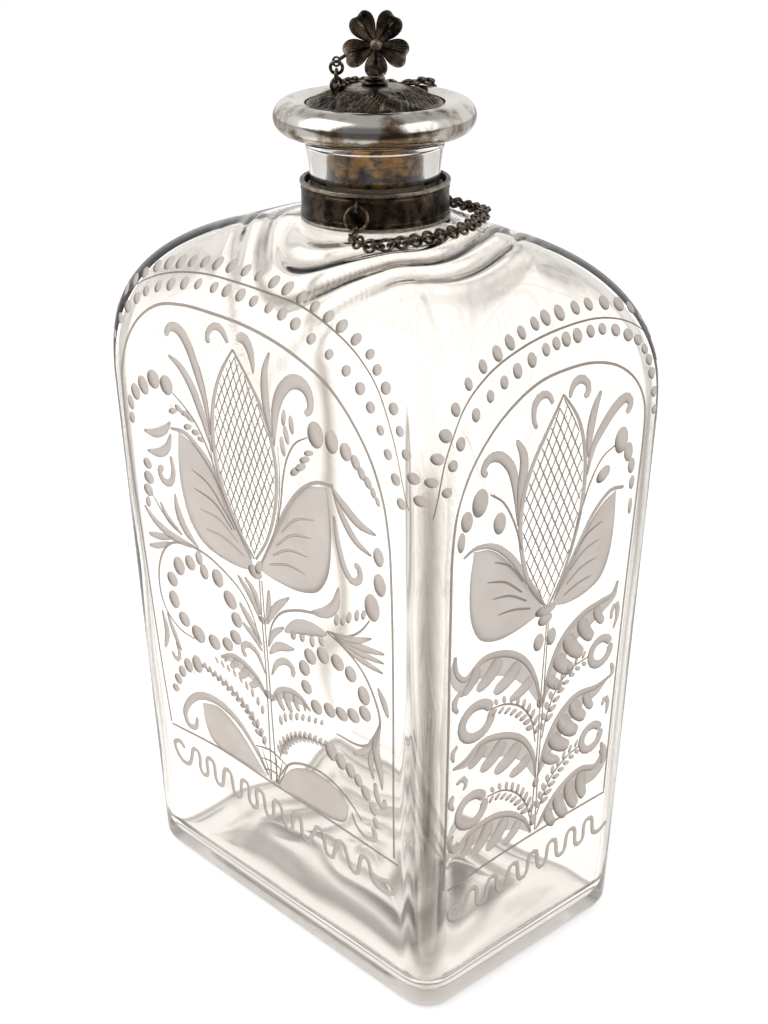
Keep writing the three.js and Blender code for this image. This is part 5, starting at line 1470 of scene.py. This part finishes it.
class DECANTER_OT_stopper(bpy.types.Operator):
    """Makes the stopper's rolled rim, chased dome and gilt plug."""

    bl_idname = "decanter.stopper"
    bl_label = "Stopper"

    def execute(self, context):
        settings = context.scene.decanter_silver
        bright = finish("buffed_silver", buffed_silver, settings)
        dark = finish("oxidised_silver", oxidised_silver, settings)
        gilt = finish("fire_gilt_silver", fire_gilt_silver, settings)

        lean = np.radians(np.linspace(-84, 88, 34))
        roll = np.stack([ROLL_CORE + ROLL_THICKNESS * np.cos(lean), ROLL_MIDDLE + ROLL_HALF_HEIGHT * np.sin(lean)], 1)
        below = eased(
            [(13.1, 198.7), (16.15, 198.7), (16.35, 199.05), (16.6, 199.5), tuple(roll[0]), tuple(roll[1])], 0.25, False
        )
        above = eased(
            [
                tuple(roll[-1]), (17.3, 206.75), (16.1, 206.5), (15.8, 206.35), (15.8, 204.4), (13.1, 204.4),
                (13.1, 198.7),
            ],
            0.2,
            False,
        )
        profile = np.concatenate([below[:-2], roll, above[1:]])
        points = turned(profile, 160)
        film = 0.2 * np.clip((ROLL_MIDDLE + 1.2 - profile[:, 1]) / 4, 0, 1)
        film = np.broadcast_to(film[:, None], points.shape[:2])
        marks = np.stack([0 * film, film], -1)
        faces = grid_faces(*points.shape[:2], False, True)
        add_piece("rolled_rim", points, faces, bright, "stopper", ["rim_roll"], marks)

        points, rub = dome_points(settings)
        faces = grid_faces(*points.shape[:2], True, True)
        add_piece("chased_dome", points, faces, dark, "stopper", ["stopper_dome"], rub)

        sleeve = eased(
            [
                (PLUG_INNER, PLUG_BOTTOM),
                (PLUG_RADIUS, PLUG_BOTTOM),
                (PLUG_RADIUS, 190.2),
                (PLUG_RADIUS, 191.2),
                (PLUG_RADIUS, 192.2),
                (PLUG_RADIUS, 193.6),
                (PLUG_RADIUS - 0.15, 193.75),
                (PLUG_RADIUS - 0.15, 194.0),
                (PLUG_RADIUS, 194.15),
                (PLUG_RADIUS, PLUG_TOP),
                (PLUG_INNER, PLUG_TOP),
            ],
            0.12,
        )
        step = eased(
            [(11.2, 197.1), (11.8, 197.1), (11.8, 197.5), (12.2, 197.7), (12.2, 198.4), (11.2, 198.4)], 0.08
        )
        disc = eased([(0.0, 189.5), (9.8, 189.5), (9.8, 190.7), (0.0, 190.7)], 0.15, False)
        for name, profile, closed, node in (
            ("gilt_sleeve", sleeve, True, "plug_sleeve"),
            ("gilt_step", step, True, "plug_step"),
            ("gilt_disc", disc, False, "plug_disc"),
        ):
            points = turned(profile, 120)
            film = 0.14 * np.exp(-(((points[..., 2] - PLUG_FILM_HEIGHT) / PLUG_FILM_SPREAD) ** 2))
            marks = np.stack([0 * film, film], -1)
            faces = grid_faces(*points.shape[:2], closed, True)
            add_piece(name, points, faces, gilt, "stopper", [node], marks)
        return {"FINISHED"}


def dome_points(settings):
    """The dome's shell: height = base + rise (1 - (r / R)^2), with chased leaves that curl round it in low relief."""
    angle = np.arange(540) / 540 * 2 * np.pi
    share = np.linspace(1, 0.105, 76)[:, None]
    leaf = np.sin(5 * angle + 5.2 * share + 1.1 * np.sin(3 * angle + 2 * share))
    vein = np.sin(46 * angle + 24 * share + 5 * leaf + 3 * np.sin(7 * angle + 9 * share))
    scroll = np.sin(9 * angle - 13 * share + 1.6 * np.sin(2 * angle + 1))
    relief = 0.5 * np.abs(leaf) ** 0.6 * (0.7 + 0.3 * vein) + 0.3 * np.maximum(scroll, 0) ** 0.7 + 0.2 * np.abs(vein)
    plain = np.clip((share - 0.44) / 0.12, 0, 1) * np.clip((0.965 - share) / 0.05, 0, 1)
    relief = relief * plain
    radius = DOME_RADIUS * share + 0 * angle
    height = DOME_BASE + DOME_RISE * (1 - share**2) + settings.relief / MM * (relief - 0.5 * plain)
    top = np.stack([radius * np.cos(angle), radius * np.sin(angle), height], -1)
    inside = top[::-4].copy()
    inner = np.minimum(share[::-4] * DOME_RADIUS, DOME_RADIUS - 1)
    inside[..., 0], inside[..., 1] = inner * np.cos(angle), inner * np.sin(angle)
    inside[..., 2] = DOME_BASE + DOME_RISE * (1 - (inner / DOME_RADIUS) ** 2) - 1
    edge = np.array([DOME_RADIUS - 1, DOME_RADIUS])[:, None]
    rim = np.stack([edge * np.cos(angle), edge * np.sin(angle), 0 * edge * angle + DOME_FOOT], -1)
    shine = 0.28 * np.clip((0.46 - share) / 0.08, 0, 1) + 0.4 * relief**2
    rub = np.concatenate([shine, np.zeros((len(inside) + 2, 540))])[..., None]
    return np.concatenate([top, inside, rim]), rub


def flower_points():
    """The flower's two faces on a polar grid: five heart-shaped petals, cupped, with a crease and an upturned rim.

    Within its fifth of the circle a petal reaches out by (1 - away^3)^0.55, less a notch at its middle.
    """
    angle = np.arange(300) / 300 * 2 * np.pi
    share = np.linspace(0, 1, 26)[:, None]
    fifth = (angle + np.pi / 2) / (2 * np.pi / 5)
    away = np.abs(fifth - np.round(fifth)) * 2
    lobe = np.maximum(1 - away**3, 0) ** 0.55
    low = np.abs(np.round(fifth)) % 5 < 0.5
    notch = np.where(low, 0.1, 0.6) * np.exp(-((away / 0.22) ** 2))
    reach = 3 + (np.where(low, LOW_PETAL_REACH, FLOWER_REACH) - 3) * lobe - notch
    radius = 0.7 + (reach - 0.7) * share
    cup = FLOWER_CUP * (radius / FLOWER_REACH) ** 2
    crease = -0.42 * np.exp(-((away / 0.1) ** 2)) * np.sin(np.pi * np.clip(share * 1.05, 0, 1)) ** 0.7
    rib = 0.05 * np.sin(44 * away) * np.sin(np.pi * share)
    edge = 0.3 * np.clip((share - 0.86) / 0.14, 0, 1) ** 2
    valley = -0.5 * away**6 * np.clip(share * 1.4, 0, 1)
    front = cup + crease + rib + edge + valley + FLOWER_HALF_THICKNESS
    back = cup + 0.5 * crease + edge + valley - FLOWER_HALF_THICKNESS
    height = np.concatenate([front, back[::-1]])
    radius = np.concatenate([radius, radius[::-1]])
    local = np.stack([FLOWER_NARROWING * radius * np.cos(angle), radius * np.sin(angle), height], -1)
    shine = 0.14 * share**2 + 0.4 * np.clip((share - 0.94) / 0.06, 0, 1)
    return local, np.concatenate([shine + 0 * angle, 0 * back])[..., None]


def from_flower(local):
    """Turns points in the flower's own plane, X right, Y up and Z out of its face, into the common frame."""
    ahead = np.array([math.cos(FLOWER_TURN), math.sin(FLOWER_TURN), 0])
    right = np.array([-ahead[1], ahead[0], 0])
    face = ahead * math.cos(FLOWER_TILT) + np.array([0, 0, math.sin(FLOWER_TILT)])
    up = np.cross(face, right)
    middle = ahead * FLOWER_FORWARD + right * FLOWER_SIDEWAYS + [0, 0, FLOWER_HEIGHT]
    return local @ np.stack([right, up, face]) + middle


class DECANTER_OT_finial(bpy.types.Operator):
    """Makes the flower, its bead, the shank of its lug, and the turned stem with its nut."""

    bl_idname = "decanter.finial"
    bl_label = "Flower finial"

    def execute(self, context):
        dark = finish("oxidised_silver", oxidised_silver, context.scene.decanter_silver)
        local, rub = flower_points()
        faces = grid_faces(*local.shape[:2], True, True)
        add_piece("petals", from_flower(local), faces, dark, "stopper", ["flower"], rub)

        lug, _, _ = node_ring("petal_lug")
        petal = from_flower(np.array(SHANK_FOOT))
        toward = (petal - lug) / np.linalg.norm(petal - lug)
        points, faces = tube(np.linspace(lug + 0.8 * toward, petal, 8), SHANK_WIRE, 12)
        add_piece("lug_shank", points, faces, dark, "stopper", marks=STEM_RUB)

        lean = np.radians(np.linspace(-50, 90, 22))
        base = FLOWER_HALF_THICKNESS + FLOWER_CUP * (BEAD_RADIUS / FLOWER_REACH) ** 2 + 0.2
        bead = np.stack([BEAD_RADIUS * np.cos(lean), base + BEAD_RISE + BEAD_RISE * np.sin(lean)], 1)
        bead = np.concatenate([[[0, base + 0.3]], bead])
        points = from_flower(turned(bead, 48))
        faces = grid_faces(*points.shape[:2], False, True)
        add_piece("flower_middle", points, faces, dark, "stopper", ["flower_bead"], BEAD_RUB)

        stem = eased(
            [
                (0, 206.25), (1.3, 206.25), (1.3, 210.3), (2.9, 210.35), (3.2, 210.55), (3.2, 210.8), (2.6, 211.05),
                (1.9, 211.1), (2.4, 211.3), (2.4, 211.6), (1.5, 211.85), (1.35, 212.3), (1.25, 213.4), (1.1, 214.2),
                (1.1, 219.6), (0.6, 220.5), (0, 220.7),
            ],
            0.3,
            False,
        )
        nut = eased([(1.75, 206.85), (3.2, 206.85), (3.2, 208.8), (1.75, 208.8)], 0.2)
        for name, profile, steps, closed, node in (
            ("turned_stem", stem, 48, False, "finial_stem"),
            ("stud_nut", nut, 8, True, "finial_nut"),
        ):
            points = turned(profile, steps)
            faces = grid_faces(*points.shape[:2], closed, True)
            add_piece(name, points, faces, dark, "stopper", [node], STEM_RUB)
        return {"FINISHED"}


class DECANTER_OT_stage(bpy.types.Operator):
    """Makes the floor, the soft lamps, the sky and the camera."""

    bl_idname = "decanter.stage"
    bl_label = "Studio"

    def execute(self, context):
        scene = context.scene
        settings = scene.decanter_stage
        scene.view_settings.view_transform = "Standard"
        mesh = bpy.data.meshes.new("paper_floor")
        edge = np.array([(-1, -1, 0), (1, -1, 0), (1, 1, 0), (-1, 1, 0)]) * 6.0
        mesh.from_pydata((edge - [0, 0, 0.0002]).tolist(), [], [(0, 1, 2, 3)])
        mesh.materials.append(floor_paper(settings))
        floor = bpy.data.objects.new("paper_floor", mesh)
        scene.collection.objects.link(floor)

        world = bpy.data.worlds.new("studio_sky")
        scene.world = world
        world.use_nodes = True
        tree = world.node_tree
        path = add_node(tree, "ShaderNodeLightPath")
        direction = add_node(tree, "ShaderNodeTexCoord").outputs["Generated"]
        way = add_node(tree, "ShaderNodeSeparateXYZ", {"Vector": direction})
        shade = add_node(
            tree,
            "ShaderNodeMapRange",
            {"Value": way.outputs["Z"], "From Min": 0.3, "From Max": 0.75, "To Min": 1.0, "To Max": 0.5},
            interpolation_type="SMOOTHSTEP",
        )
        ahead = add_node(tree, "ShaderNodeMath", {0: way.outputs["X"], 1: way.outputs["Y"]}, operation="SUBTRACT")
        room = add_node(
            tree,
            "ShaderNodeMapRange",
            {"Value": ahead.outputs["Value"], "From Min": -0.2, "From Max": 0.7, "To Min": 1.0, "To Max": 0.22},
            interpolation_type="SMOOTHSTEP",
        )
        above = add_node(
            tree,
            "ShaderNodeMapRange",
            {"Value": way.outputs["Z"], "From Min": 0.45, "From Max": 0.75},
            interpolation_type="SMOOTHSTEP",
        )
        mirrored = add_node(
            tree, "ShaderNodeMix", {"Factor": above.outputs["Result"], "A": room.outputs["Result"], "B": 0.55}
        )
        inside = add_node(
            tree,
            "ShaderNodeMix",
            {"Factor": path.outputs["Is Transmission Ray"], "A": settings.sky, "B": shade.outputs["Result"]},
        )
        inside = add_node(
            tree,
            "ShaderNodeMix",
            {"Factor": path.outputs["Is Glossy Ray"], "A": inside.outputs["Result"], "B": mirrored.outputs["Result"]},
        )
        seen = add_node(
            tree, "ShaderNodeMix", {"Factor": path.outputs["Is Camera Ray"], "A": inside.outputs["Result"], "B": 1.0}
        )
        tree.links.new(seen.outputs["Result"], tree.nodes["Background"].inputs["Strength"])
        tree.nodes["Background"].inputs["Color"].default_value = (1, 1, 1, 1)

        for name, place, size, power in (
            ("key_lamp", (-0.35, -0.85, 0.75), 0.9, settings.key),
            ("fill_lamp", (0.95, 0.2, 0.6), 0.8, settings.fill),
        ):
            lamp = bpy.data.lights.new(name, "AREA")
            lamp.shape, lamp.size, lamp.size_y = "RECTANGLE", size, size * 1.3
            lamp.energy = power
            holder = bpy.data.objects.new(name, lamp)
            scene.collection.objects.link(holder)
            aim = Vector((0, 0, 0.12)) - Vector(place)
            holder.location = place
            holder.rotation_euler = aim.to_track_quat("-Z", "Y").to_euler()

        lens = bpy.data.cameras.new("photo_camera")
        lens.lens, lens.sensor_width, lens.sensor_fit = FOCAL_LENGTH, SENSOR_WIDTH, "AUTO"
        lens.clip_start = 0.01
        camera = bpy.data.objects.new("photo_camera", lens)
        scene.collection.objects.link(camera)
        rows = [(*axes, place * MM) for axes, place in zip(zip(*CAMERA_AXES), CAMERA_PLACE)]
        camera.matrix_world = Matrix([*rows, (0, 0, 0, 1)])
        scene.camera = camera
        return {"FINISHED"}


PIECES = (
    DECANTER_OT_glass,
    DECANTER_OT_engraving,
    DECANTER_OT_collar,
    DECANTER_OT_chain,
    DECANTER_OT_stopper,
    DECANTER_OT_finial,
    DECANTER_OT_stage,
)
SETTINGS = {
    "decanter_glass": GlassSettings,
    "decanter_engraving": EngravingSettings,
    "decanter_silver": SilverSettings,
    "decanter_stage": StageSettings,
}


class DECANTER_PT_sidebar(bpy.types.Panel):
    """Lists the decanter's pieces and settings."""

    bl_label = "Decanter"
    bl_idname = "DECANTER_PT_sidebar"
    bl_space_type = "VIEW_3D"
    bl_region_type = "UI"
    bl_category = "Decanter"

    def draw(self, context):
        for name, group in SETTINGS.items():
            box = self.layout.box()
            for key in group.__annotations__:
                box.prop(getattr(context.scene, name), key)
        for operator in PIECES:
            self.layout.operator(operator.bl_idname)


def register():
    """Registers the settings, the operators and the panel."""
    for group in (*SETTINGS.values(), *PIECES, DECANTER_PT_sidebar):
        bpy.utils.register_class(group)
    for name, group in SETTINGS.items():
        setattr(bpy.types.Scene, name, bpy.props.PointerProperty(type=group))


def unregister():
    """Takes them back in the other order."""
    for name in SETTINGS:
        delattr(bpy.types.Scene, name)
    for group in (DECANTER_PT_sidebar, *reversed(PIECES), *SETTINGS.values()):
        bpy.utils.unregister_class(group)


def main():
    register()
    bpy.ops.decanter.glass()
    bpy.ops.decanter.engraving()
    bpy.ops.decanter.collar()
    bpy.ops.decanter.chain()
    bpy.ops.decanter.stopper()
    bpy.ops.decanter.finial()
    bpy.ops.decanter.stage()


if __name__ == "__main__":
    main()
